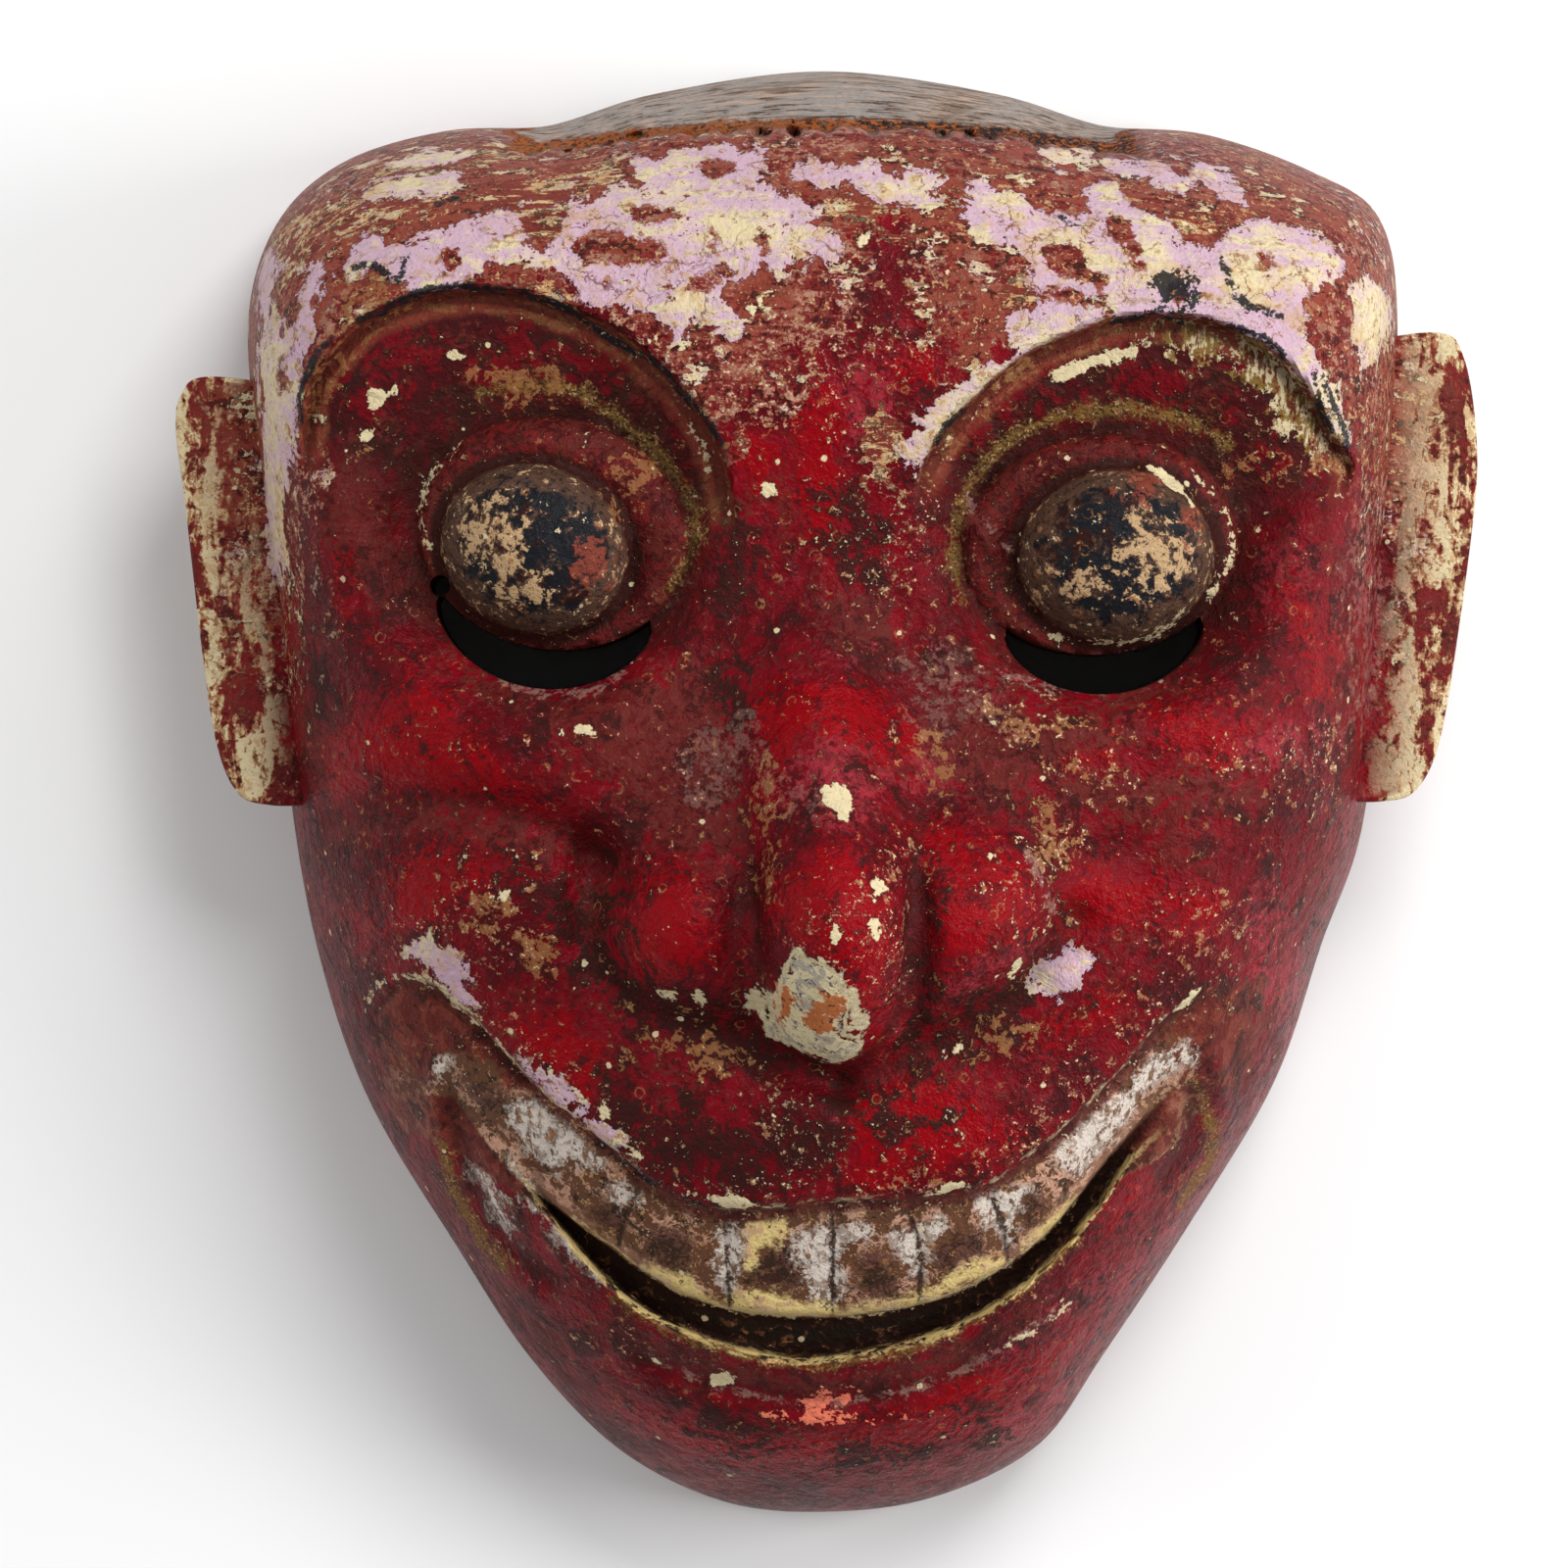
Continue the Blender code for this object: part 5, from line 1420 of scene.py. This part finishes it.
    def lay_forehead(self, coat: Coat, weather: Weather) -> None:
        """Lay the rust, cream and lilac coats of the forehead and other old pale places.

        Args:
            coat: The surface so far.
            weather: The shared unevenness.
        """
        tree = coat.tree
        cloud, wear, mottle = weather.cloud, weather.wear, weather.mottle
        fine, grit, streak = weather.fine, weather.grit, weather.streak
        forehead = weather.patch("forehead", 2.6, 0.8)
        faded = (fine * 0.7 + grit * 0.5 - streak * 0.6).above(0.3, 0.3)
        rust = tree.layers(
            self.rust,
            (self.rust_red, (mottle * 0.8 + cloud * 0.5 + streak * 0.5).above(0.0, 0.16)),
            (self.brown, (mottle * 0.6 + fine - cloud * 0.4).above(0.36, 0.12) * 0.8),
            (self.dark, (wear * 0.6 + streak * 0.7 - fine * 0.8).above(0.46, 0.1) * 0.85),
            (self.fleck, faded * (cloud + mottle * 0.4).above(0.0, 0.4) * 0.5),
            (self.tan, (fine * 0.8 + grit * 0.6 + streak * 0.5 - cloud * 0.3).above(0.6, 0.1) * 0.85))
        coat.lay(rust, forehead, self.old_satin)
        tan = tree.layers(
            self.tan,
            (self.cream, (streak + fine * 0.5).above(0.3, 0.1) * 0.6),
            (self.rust_red, (wear * 0.5 - streak * 1.2 + fine * 0.4).above(-0.05, 0.14) * 0.95),
            (self.dark, (mottle * 0.6 + fine * 0.7 + streak * 0.4).above(0.38, 0.1) * 0.85))
        coat.lay(tan, weather.patch("tan", 1.4, 0.4) * 0.95, self.dull)
        pale_depth = weather.read("pale") + 0.9 + wear * 1.6 + mottle * 0.8 + fine * 0.6 + grit * 0.25
        rusty = (weather.read("rust") + weather.fray() * 0.4).above(0.0, 0.25)
        spots = tree.cells(tree.stretched(weather.place, (1.0, 0.8, 1.0), 40.0), 7.0)
        chance, growth = tree.picks(spots)[:2]
        oval = Value(tree, spots.outputs["Distance"]) * -1.0 + fine * 0.04 + growth * 0.1
        rusty = rusty.most(oval.above(-0.15, 0.015) * chance.above(0.76, 0.01))
        scraps = (wear * 0.8 + fine * 0.4 + streak * 0.6).above(0.58, 0.05) * forehead
        pale_here = pale_depth.above(0.0, 0.16).most(scraps) * (1.0 - rusty)
        coat.lay(self.dark, pale_depth.within(0.4, 0.3) * 0.35)
        creamy = (weather.read("cream") + mottle * 2.2 + streak * 2.0 + fine * 0.8).above(0.0, 2.0)
        thin = (wear * 0.8 + streak * 0.6 - cloud * 0.5).above(0.5, 0.3)
        pale = tree.layers(
            self.lilac,
            (self.cream, creamy.most(thin)),
            (self.tan, (mottle * 0.8 + fine * 0.5 + cloud * 0.5).above(0.4, 0.4) * 0.6),
            (self.rubbed, (fine * 0.6 + streak * 0.8).above(0.56, 0.2) * 0.5),
            (self.rust_red, (fine * 0.8 + grit * 0.4 - mottle * 0.5).above(0.78, 0.06) * 0.9))
        coat.lay(pale, pale_here, self.chalky, self.coat_thickness)
        cracks = weather.cracks(6.5, 63.0) * forehead * (cloud + mottle * 0.5).above(0.0, 0.2)
        coat.lay(self.brown, cracks * 0.7)

    def lay_sockets(self, coat: Coat, weather: Weather) -> None:
        """Lay the dark hollows, the brows and the lids.

        Args:
            coat: The surface so far.
            weather: The shared unevenness.
        """
        tree = coat.tree
        cloud, wear, mottle = weather.cloud, weather.wear, weather.mottle
        fine, grit, fibre = weather.fine, weather.grit, weather.fibre
        rings = weather.rings()
        hollow = weather.read("hollow")
        ring_depth = weather.read("ring")
        in_hollow = (hollow + fine * 0.3).above(0.25, 0.25) * weather.read("brow")
        socket = tree.layers(
            self.maroon,
            (self.brown, (mottle * 0.5 + rings * 0.8).above(0.16, 0.2)),
            (self.crimson, (wear + cloud * 0.6 - fine * 0.4).above(0.28, 0.2) * 0.7),
            (self.dark, (rings * 0.8 - wear * 0.4 + fine * 0.5).above(0.2, 0.16) * 0.85),
            (self.tan, (grit * 0.6 + rings * 0.6 + fine * 0.6).above(0.92, 0.06) * 0.7))
        coat.lay(socket, in_hollow, self.chalky)
        # Painted light: lighter rust and ochre on the shaded wall just inside the brow.
        under = (hollow - 2.0 + wear * 0.8).within(1.6, 0.8) * in_hollow
        lit = tree.mix(self.rust, self.ochre, (fine * 0.6 + rings).above(0.3, 0.16) * 0.7)
        coat.lay(lit, under * 0.85)
        # Painted shade on the floor of the hollow at the foot of each lid.
        shade = (ring_depth + wear).above(-3.5, 2.5) * (1.0 - (ring_depth + fine * 0.2).above(0.0, 0.3))
        coat.lay(self.dark, shade * 0.5)
        flap = tree.layers(
            self.cream,
            (self.olive, (fibre * 0.7 + mottle * 0.6).above(0.0, 0.2)),
            (self.brown, (wear * 0.8 + fibre * 0.7).above(0.3, 0.14) * 0.9))
        coat.lay(flap, weather.patch("flap", 1.6, 0.5) * in_hollow * 0.9, self.dull)
        lid = tree.layers(
            self.maroon,
            (self.rust_red, (mottle * 0.7 + wear * 0.6).above(0.1, 0.2) * 0.8),
            (self.brown, (fine * 0.5 - mottle * 0.6 - cloud * 0.4).above(0.1, 0.16)),
            (self.dark, (fine * 0.7 + wear * 0.6).above(0.36, 0.12) * 0.8),
            (self.tan, (grit * 0.6 + fine * 0.6 - wear * 0.4).above(0.75, 0.06) * 0.6))
        coat.lay(lid, (ring_depth + fine * 0.2).above(0.0, 0.4) * 0.95, self.satin)

    def lay_eyeballs(self, coat: Coat, weather: Weather) -> None:
        """Lay the dark, worn eyeballs and the olive lines round the eyes.

        Args:
            coat: The surface so far.
            weather: The shared unevenness.
        """
        tree = coat.tree
        cloud, wear, mottle = weather.cloud, weather.wear, weather.mottle
        fine, grit = weather.fine, weather.grit
        ball_depth = weather.read("ball")
        # Painted shade in the furrow round each eyeball.
        coat.lay(self.dark, (ball_depth + 0.7 + fine * 0.3).within(0.8, 0.4) * 0.85)
        worn_side = weather.patch("eyeball_worn", 0.8, 0.8)
        black_side = weather.patch("eyeball_black", 0.8, 0.8)
        edge_worn = (ball_depth * -1.0 + mottle * 2.2 + fine).above(-3.0, 1.0)
        flakes = mottle * 0.9 + fine * 0.5 + grit * 0.2 + worn_side * 0.6 - black_side * 0.3
        bare = mottle * 0.9 + fine * 0.7 + grit * 0.3 + worn_side * 0.6 - black_side * 0.35
        bare = bare.above(0.56, 0.12)
        eye = tree.layers(
            self.eyeball,
            (self.dark, (wear * 0.8 + cloud * 0.5).above(0.2, 0.2)),
            (self.eyeball_brown, edge_worn * 0.75),
            (self.eyeball_brown, flakes.above(0.2, 0.26) * 0.8),
            (self.eyeball_tan, bare * 0.95),
            (self.rust, weather.patch("eyeball_rust", 1.0, 0.4) * 0.8),
            (self.eyeball, (grit * 0.7 - fine * 0.6).above(0.4, 0.06) * 0.7),
            (self.cream, (fine * 0.8 + grit * 0.6 - wear * 0.5).above(0.95, 0.05) * 0.9))
        coat.lay(eye, (ball_depth + fine * 0.3).above(0.0, 0.25), self.lacquered + bare * 0.3)
        gold = tree.layers(
            self.olive,
            (self.tan, (grit * 0.6 + fine * 0.8).above(0.46, 0.1)),
            (self.dark, (fine * 0.7 - grit * 0.7).above(0.24, 0.1) * 0.8))
        coat.lay(gold, weather.line("olive_line", 0.75, 1.6, 0.7) * 0.7, self.dry)
        coat.lay(gold, weather.patch("olive", 1.4, 0.5) * 0.85, self.dry)

    def lay_teeth(self, coat: Coat, weather: Weather) -> None:
        """Lay the band of teeth, its gaps and the worn paint on it.

        Args:
            coat: The surface so far.
            weather: The shared unevenness.
        """
        tree = coat.tree
        wear, mottle, fine, grit = weather.wear, weather.mottle, weather.fine, weather.grit
        teeth = weather.read("teeth")
        in_mouth = (fine * 0.15 - weather.read("lip")).above(0.1, 0.2) * weather.read("grin")
        band = tree.layers(
            self.tooth_brown,
            (self.tooth_pink, (mottle * 0.6 + fine * 0.4 + wear * 0.7).above(0.1, 0.2)),
            (self.tooth_dark, (fine * 0.7 - mottle * 0.5 + wear * 0.6).above(0.36, 0.1) * 0.9),
            (self.tan, (fine * 0.7 + grit * 0.5 - wear * 0.4).above(0.5, 0.1) * 0.7))
        coat.lay(band, in_mouth, self.satin)
        near_edge = (wear + mottle - teeth).above(-1.8, 0.9) * in_mouth
        coat.lay(self.tooth_pink, near_edge * weather.read("slit") * 0.4)
        burnt = tree.layers(
            self.tooth_dark,
            (self.maroon, (mottle + wear * 0.5).above(0.1, 0.3) * 0.7),
            (self.tooth_brown, (fine * 0.8 + grit * 0.5).above(0.35, 0.2) * 0.7))
        coat.lay(burnt, weather.patch("tooth_dark", 1.1, 0.7) * in_mouth * 0.85)
        white = tree.layers(
            self.tooth_white,
            (self.tooth_grey, (mottle * 0.6 + fine * 0.8).above(0.16, 0.16)),
            (self.tooth_brown, (wear * 0.5 + weather.fibre + fine * 0.5).above(0.4, 0.2) * 0.85))
        coat.lay(white, weather.patch("tooth_white", 0.7, 0.6) * 0.9, self.dull)
        cream = tree.layers(
            self.tooth_cream,
            (self.tooth_pink, (mottle + fine * 0.6).above(0.3, 0.16) * 0.7),
            (self.tooth_dark, (fine + grit * 0.5 - mottle * 0.4).above(0.7, 0.06) * 0.8))
        shore = (weather.read("tooth_cream") + 0.3 + weather.fray() * 0.45).above(0.0, 0.7)
        coat.lay(cream, shore * (teeth + 0.3).above(0.0, 0.2), self.glazed)
        gaps = weather.line("tooth_gap_line", 0.35, 0.5, 0.2) * in_mouth
        coat.lay(self.tooth_dark, gaps * 0.9, self.dull)

    def lay_lips(self, coat: Coat, weather: Weather) -> None:
        """Lay the groove under the teeth, the corners of the mouth and the worn edges of the lips.

        Args:
            coat: The surface so far.
            weather: The shared unevenness.
        """
        tree = coat.tree
        wear, mottle, fine = weather.wear, weather.mottle, weather.fine
        grin, lip = weather.read("grin"), weather.read("lip")
        in_mouth = (fine * 0.15 - lip).above(0.1, 0.2) * grin
        # Pinkish red paint on the underside of the upper lip, with painted highlight along its rounded rim.
        under_lip = (lip + wear * 0.6 + fine * 0.3).above(-1.3, 0.5) * in_mouth
        coat.lay(self.lip_rim, under_lip * 0.8, self.lacquered)
        coat.lay(self.maroon, under_lip * (wear * 0.7 + fine * 0.5).above(0.05, 0.25) * 0.8)
        side = grin * (weather.read("teeth") * -1.0 + fine * 0.15).above(0.3, 0.25)
        corner = tree.layers(
            self.brown,
            (self.rust, (mottle + fine * 0.5).above(0.1, 0.3) * 0.6),
            (self.dark, (wear * 0.8 + fine * 0.6).above(0.26, 0.14) * 0.8))
        coat.lay(corner, side.most(weather.patch("lip_corner", 0.8, 0.6)), self.satin)
        deep = tree.mix(self.groove, self.tooth_brown, (mottle * 0.6 + fine * 0.8).above(0.4, 0.14) * 0.85)
        coat.lay(deep, side * weather.read("slit"), self.dull)
        sill = (weather.read("groove") + 0.2 + fine * 0.25 + mottle * 0.2).within(0.42, 0.16)
        worn_sill = sill * weather.read("slit") * (wear + fine * 0.6).above(-0.2, 0.3)
        coat.lay(self.tooth_cream, worn_sill * 0.75)
        lip_edge = (lip - 0.5 + fine * 0.4 + mottle * 0.3).within(0.5, 0.2) * grin
        worn_edge = lip_edge * (wear * 0.7 + mottle * 0.7).above(0.12, 0.12)
        coat.lay(self.cream, worn_edge * 0.8, self.chalky)
        coat.lay(self.dark, (lip + 0.4 + fine * 0.15).within(0.35, 0.2) * grin * 0.4)

    def lay_specks(self, coat: Coat, weather: Weather) -> None:
        """Lay the dirt, strokes, stains, dust and specks over the paint.

        Args:
            coat: The surface so far.
            weather: The shared unevenness.
        """
        tree = coat.tree
        wear, mottle, fine, grit = weather.wear, weather.mottle, weather.fine, weather.grit
        dirt = (weather.read("crevice") + fine * 0.12 + mottle * 0.12).above(0.24, 0.25)
        coat.lay(self.dark, dirt * 0.45, self.dull)
        stain = weather.patch("ochre", 1.6, 0.3) * (fine + mottle * 0.6).above(0.0, 0.2)
        coat.lay(self.ochre, stain * 0.7, self.dull)
        coat.lay(self.rubbed, weather.line("rubbed_line", 0.35, 1.2, 0.3) * 0.7, self.scuffed)
        coat.lay(self.cream, weather.line("cream_line", 0.2, 1.2, 0.14) * 0.85, self.chalky)
        soot = weather.line("soot_line", 0.42, 0.7, 0.14).most(weather.patch("soot", 1.1, 0.25))
        coat.lay(self.soot, soot * 0.95, self.dull)
        speckled = weather.patch("speckled", 2.6, 1.6)
        dust = (fine * 0.6 + grit * 0.7 + mottle * 0.2 + speckled * 0.5).above(1.0, 0.2)
        coat.lay(self.fleck, dust * 0.55, self.dull)
        flecks = (fine * 0.7 + grit * 0.6 + wear * 0.2 + speckled * 0.3).above(1.02, 0.05)
        coat.lay(self.cream, flecks * 0.85, self.chalky)
        scabs = (mottle * 0.5 + fine * 0.8 - grit * 0.4 + speckled * 0.25).above(0.86, 0.06)
        coat.lay(self.ochre, scabs * 0.8, self.dull)
        cells = tree.cells(weather.place, 3.2)
        distance = Value(tree, cells.outputs["Distance"])
        dotted, growth, blistered = tree.picks(cells)
        dots = (distance * -1.0 + fine * 0.05 + grit * 0.03 + growth * 0.08).above(-0.07, 0.02)
        coat.lay(self.cream, dots * dotted.above(0.84, 0.01) * 0.9, self.chalky)
        rims = (distance + fine * 0.06 + mottle * 0.03 - 0.22).within(0.035, 0.02)
        blister = rims * blistered.above(0.66, 0.01)
        coat.lay(self.ochre, blister * (grit * 0.6 + fine * 0.6).above(0.0, 0.2) * 0.6)

    def lay_chips(self, coat: Coat, weather: Weather) -> None:
        """Lay the chips in the paint and the bare wood of the nose.

        Args:
            coat: The surface so far.
            weather: The shared unevenness.
        """
        mottle, fine, grit = weather.mottle, weather.fine, weather.grit
        bare = weather.read("bare")
        coat.lay(self.dark, (weather.read("chip") + 0.25 + fine * 0.4).above(0.0, 0.15) * 0.5)
        tip = coat.tree.layers(
            self.cream,
            (self.wood_grey, (fine * 0.6 + mottle * 0.8).above(0.1, 0.16) * 0.8),
            (self.wood_orange, weather.patch("orange", 0.7, 0.3) * 0.9),
            (self.dark, (fine * 0.8 + grit * 0.4 - mottle * 0.3).above(0.5, 0.08) * 0.75))
        coat.lay(self.dark, (bare + 0.35 + fine * 0.3).above(0.0, 0.15) * 0.6)
        coat.lay(tip, weather.patch("bare", 0.5, 0.12), self.scraped, -self.chip_depth)
        rim = (bare + fine * 0.3 + mottle * 0.3).within(0.3, 0.12)
        coat.lay(self.cream, weather.patch("chip", 0.24, 0.1).most(rim * 0.8), self.chalky)
        coat.lay(self.salmon, weather.patch("salmon", 0.6, 0.15) * (0.9 + fine * 0.3), self.satin)

    def lay_ears(self, coat: Coat, weather: Weather) -> None:
        """Lay the worn paint of the ears.

        Args:
            coat: The surface so far.
            weather: The shared unevenness.
        """
        tree = coat.tree
        mottle, fine, grit = weather.mottle, weather.fine, weather.grit
        tall = tree.noise(tree.stretched(weather.place, (1.0, 0.35, 1.0)),
                          size=4.5, detail=4.0, roughness=0.66, twist=0.5)
        pale = tree.mix(self.cream, self.tan, (mottle * 0.7 + fine * 0.7).above(0.36, 0.16) * 0.7)
        ear = tree.layers(
            self.rust_red,
            (self.brown, (mottle * 0.8 + fine * 0.4).above(0.0, 0.2)),
            (self.dark, (mottle * 0.5 - fine * 0.8 + grit * 0.3).above(0.5, 0.1) * 0.7),
            (self.tan, (tall + fine * 0.4).above(-0.1, 0.1) * 0.6),
            (pale, (tall + fine * 0.4 + grit * 0.2).above(0.12, 0.06) * 0.95))
        coat.lay(ear, weather.read("ear"), self.chalky)

    def lay_wood(self, coat: Coat, weather: Weather) -> None:
        """Lay the bare wood of the crown, its broken ledge and the hollow back.

        Args:
            coat: The surface so far.
            weather: The shared unevenness.
        """
        tree = coat.tree
        cloud, mottle, fine, fibre = weather.cloud, weather.mottle, weather.fine, weather.fibre
        grain = tree.noise(tree.stretched(weather.place, (0.08, 1.0, 1.0)),
                           size=0.9, detail=4.0, roughness=0.7)
        on_head = 1.0 - weather.read("ear")
        behind = weather.read("crown") + fine * 0.4
        crown = (behind + grain * 0.4).above(2.2, 0.4) * on_head
        ledge = behind.above(0.1, 0.4) * (1.0 - crown) * on_head
        charred = (fibre * 0.8 + mottle * 0.5 + weather.read("across") * 0.08).above(0.5, 0.2)
        broken = tree.layers(
            self.wood_orange,
            (self.wood_brown, (fibre + fine * 0.5).above(0.1, 0.2)),
            (self.dark, (fibre - fine * 0.5).above(0.3, 0.16) * 0.8),
            (self.soot, charred * 0.9))
        coat.lay(broken, ledge, self.dry, fibre * self.splinter_height)
        bare = tree.layers(
            self.wood_grey,
            (self.wood_brown, (grain * 0.9 + cloud * 0.6).above(0.2, 0.3) * 0.8),
            (self.fleck, (grain * -0.9 + fine * 0.4).above(0.35, 0.2) * 0.6),
            (self.dark, (grain - fine * 0.3).above(0.5, 0.12) * 0.7))
        coat.lay(bare, crown, self.scraped, grain * self.grain_height)
        inner = tree.mix(self.inner_wood, self.dark, (grain * 0.6 + cloud * 0.6).above(0.0, 0.4) * 0.8)
        coat.lay(inner, weather.read("inside"), self.dry)


@dataclass
class CarvedMask:
    """The mask itself, one piece of wood with ears and eyes carved in one."""

    form: FaceForm = field(default_factory=FaceForm)
    paint: WornPaint = field(default_factory=WornPaint)
    ears: tuple[Ear, ...] = (
        Ear("left_ear_form", ((-71, 55), (-84, 56.5), (-87.6, 54), (-88.3, 49), (-87, 39),
                              (-84.5, 18), (-82.5, 6), (-79.5, -0.5), (-75, -2), (-70, -2)), -1.0),
        Ear("right_ear_form", ((71, 61), (83, 62.5), (86.5, 59.5), (88.3, 50), (88.2, 39), (85, 16),
                               (82.7, 5), (79.5, -0.3), (75, -1.5), (70, -1.5)), 1.0),
    )
    hole: Oval = Oval(-51.6, 27.4, 1.4, 1.4)
    cut_low: float = 25.0
    cut_high: float = 90.0
    cutter_reach: float = 120.0
    hole_steps: int = 24
    rounding_steps: int = 6
    rounding_angle: float = 60.0
    sharp_angle: float = 62.0
    triangles: int = 188000
    front_from: float = 0.9

    def build(self) -> bpy.types.Object:
        """Build the mask and dress it."""
        body = self.body()
        parts = [(self.ear(ear), "UNION") for ear in self.ears]
        parts += [(cutter, "DIFFERENCE") for cutter in self.cutters()]
        for other, operation in parts:
            change = body.modifiers.new(other.name, "BOOLEAN")
            change.operation = operation
            change.solver = "MANIFOLD"
            change.object = other
        apply_modifiers(body)
        for other, _ in parts:
            bpy.data.objects.remove(other, do_unlink=True)
        for polygon in body.data.polygons:
            polygon.use_smooth = True
        body.data.set_sharp_from_angle(angle=math.radians(self.sharp_angle))
        Regions(self.form).write(body.data)
        body.data.materials.clear()
        body.data.materials.append(self.paint.build())
        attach(body, "root")
        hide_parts("mask")
        return body

    def body(self) -> bpy.types.Object:
        """Make the hollow body: a finely divided cube whose points are moved onto the skin."""
        form = bmesh.new()
        bmesh.ops.create_cube(form, size=2.0)
        bmesh.ops.subdivide_edges(form, edges=form.edges[:], cuts=self.form.grid_cuts,
                                  use_grid_fill=True)
        body = add_form("carved_mask", form)
        mesh = body.data
        places = np.empty(len(mesh.vertices) * 3)
        mesh.vertices.foreach_get("co", places)
        moved = self.form.skin(places.reshape(-1, 3)) * MM
        mesh.vertices.foreach_set("co", moved.ravel())
        mesh.update()
        hidden = np.flatnonzero(places.reshape(-1, 3)[:, 2] < self.front_from)
        body.vertex_groups.new(name="hidden").add(hidden.tolist(), 1.0, "REPLACE")
        thinning = body.modifiers.new("thinning", "DECIMATE")
        thinning.ratio = self.triangles / (2.0 * len(mesh.polygons))
        thinning.vertex_group = "hidden"
        thinning.vertex_group_factor = 1.0
        return body

    def ear(self, ear: Ear) -> bpy.types.Object:
        """Make one ear's form."""
        path = Trail(ear.points).path()
        root = path[0, 0]
        half = ear.thickness / 2.0
        slab = make_slab(ear.name, path - (root, 0.0), -half, half)
        slab.location = (root * MM, 0.0, ear.z * MM)
        slab.rotation_euler = (0.0, ear.side * math.radians(ear.lean), 0.0)
        rounding = slab.modifiers.new("rounding", "BEVEL")
        rounding.width = ear.rounding * MM
        rounding.segments = self.rounding_steps
        rounding.angle_limit = math.radians(self.rounding_angle)
        return slab

    def cutters(self) -> list[bpy.types.Object]:
        """Make what is cut away: two slots, a small hole, and all that is below the back rim."""
        cutters = []
        for eye, side in zip(self.form.eyes, ("left", "right")):
            cutters.append(make_slab(f"{side}_slot_cutter", eye.slot_path(), self.cut_low, self.cut_high))
        turn = np.linspace(0.0, 2.0 * math.pi, self.hole_steps, endpoint=False)
        hole = np.stack((self.hole.x + self.hole.half_width * np.cos(turn),
                         self.hole.y + self.hole.half_height * np.sin(turn)), axis=1)
        cutters.append(make_slab("hole_cutter", hole, self.cut_low, self.cut_high))
        square = self.cutter_reach * np.array(((-1, -1), (1, -1), (1, 1), (-1, 1)))
        cutters.append(make_slab("rim_cutter", square, -self.cutter_reach, 0.0))
        return cutters


@dataclass
class Studio:
    """A pale floor, soft light and a camera that looks straight down on the mask."""

    face_plane: float = 0.060
    distance: float = 1.10
    picture_width: float = 0.208
    aim: tuple[float, float] = (-0.0057, 0.0009)
    floor_size: float = 3.0
    floor_colour: Colour = (0.9, 0.9, 0.9)
    floor_roughness: float = 0.9
    sensor: float = 36.0
    sky_strength: float = 0.38
    lamp_size: float = 0.5
    lamps: tuple[tuple[str, tuple[float, float, float], float], ...] = (
        ("top_light", (0.32, 0.62, 0.9), 7.8),
        ("right_light", (0.9, 0.0, 0.55), 6.9),
        ("left_light", (-0.9, 0.1, 0.6), 2.5),
    )

    def build(self) -> None:
        """Build the floor, the lights and the camera."""
        self.floor()
        self.lights()
        self.camera()
        bpy.context.scene.view_settings.view_transform = "Standard"

    def floor(self) -> None:
        """Lay the floor."""
        form = bmesh.new()
        bmesh.ops.create_grid(form, x_segments=1, y_segments=1, size=self.floor_size / 2.0)
        floor = add_form("floor", form)
        pale = bpy.data.materials.new("pale_floor")
        pale.use_nodes = True
        shader = pale.node_tree.nodes["Principled BSDF"]
        shader.inputs["Base Color"].default_value = (*self.floor_colour, 1.0)
        shader.inputs["Roughness"].default_value = self.floor_roughness
        floor.data.materials.append(pale)

    def lights(self) -> None:
        """Hang the soft lights, which all face the mask."""
        world = bpy.data.worlds.new("studio")
        world.use_nodes = True
        background = world.node_tree.nodes["Background"]
        background.inputs["Color"].default_value = (1.0, 1.0, 1.0, 1.0)
        background.inputs["Strength"].default_value = self.sky_strength
        bpy.context.scene.world = world
        for name, place, power in self.lamps:
            light = bpy.data.lights.new(name, "AREA")
            light.size = self.lamp_size
            light.energy = power
            item = add_object(name, light)
            item.location = place
            towards = Vector((0.0, 0.0, self.face_plane)) - item.location
            item.rotation_euler = towards.to_track_quat("-Z", "Y").to_euler()

    def camera(self) -> None:
        """Set up the camera."""
        lens = bpy.data.cameras.new("camera")
        lens.sensor_width = self.sensor
        lens.lens = self.sensor * self.distance / self.picture_width
        item = add_object("camera", lens)
        item.location = (*self.aim, self.face_plane + self.distance)
        bpy.context.scene.camera = item


def main() -> None:
    """Build everything."""
    logging.basicConfig(level=logging.INFO)
    mask = CarvedMask().build()
    log.info("%s: %d triangles", mask.name, sum(len(face.vertices) - 2 for face in mask.data.polygons))
    Studio().build()


if __name__ == "__main__":
    main()
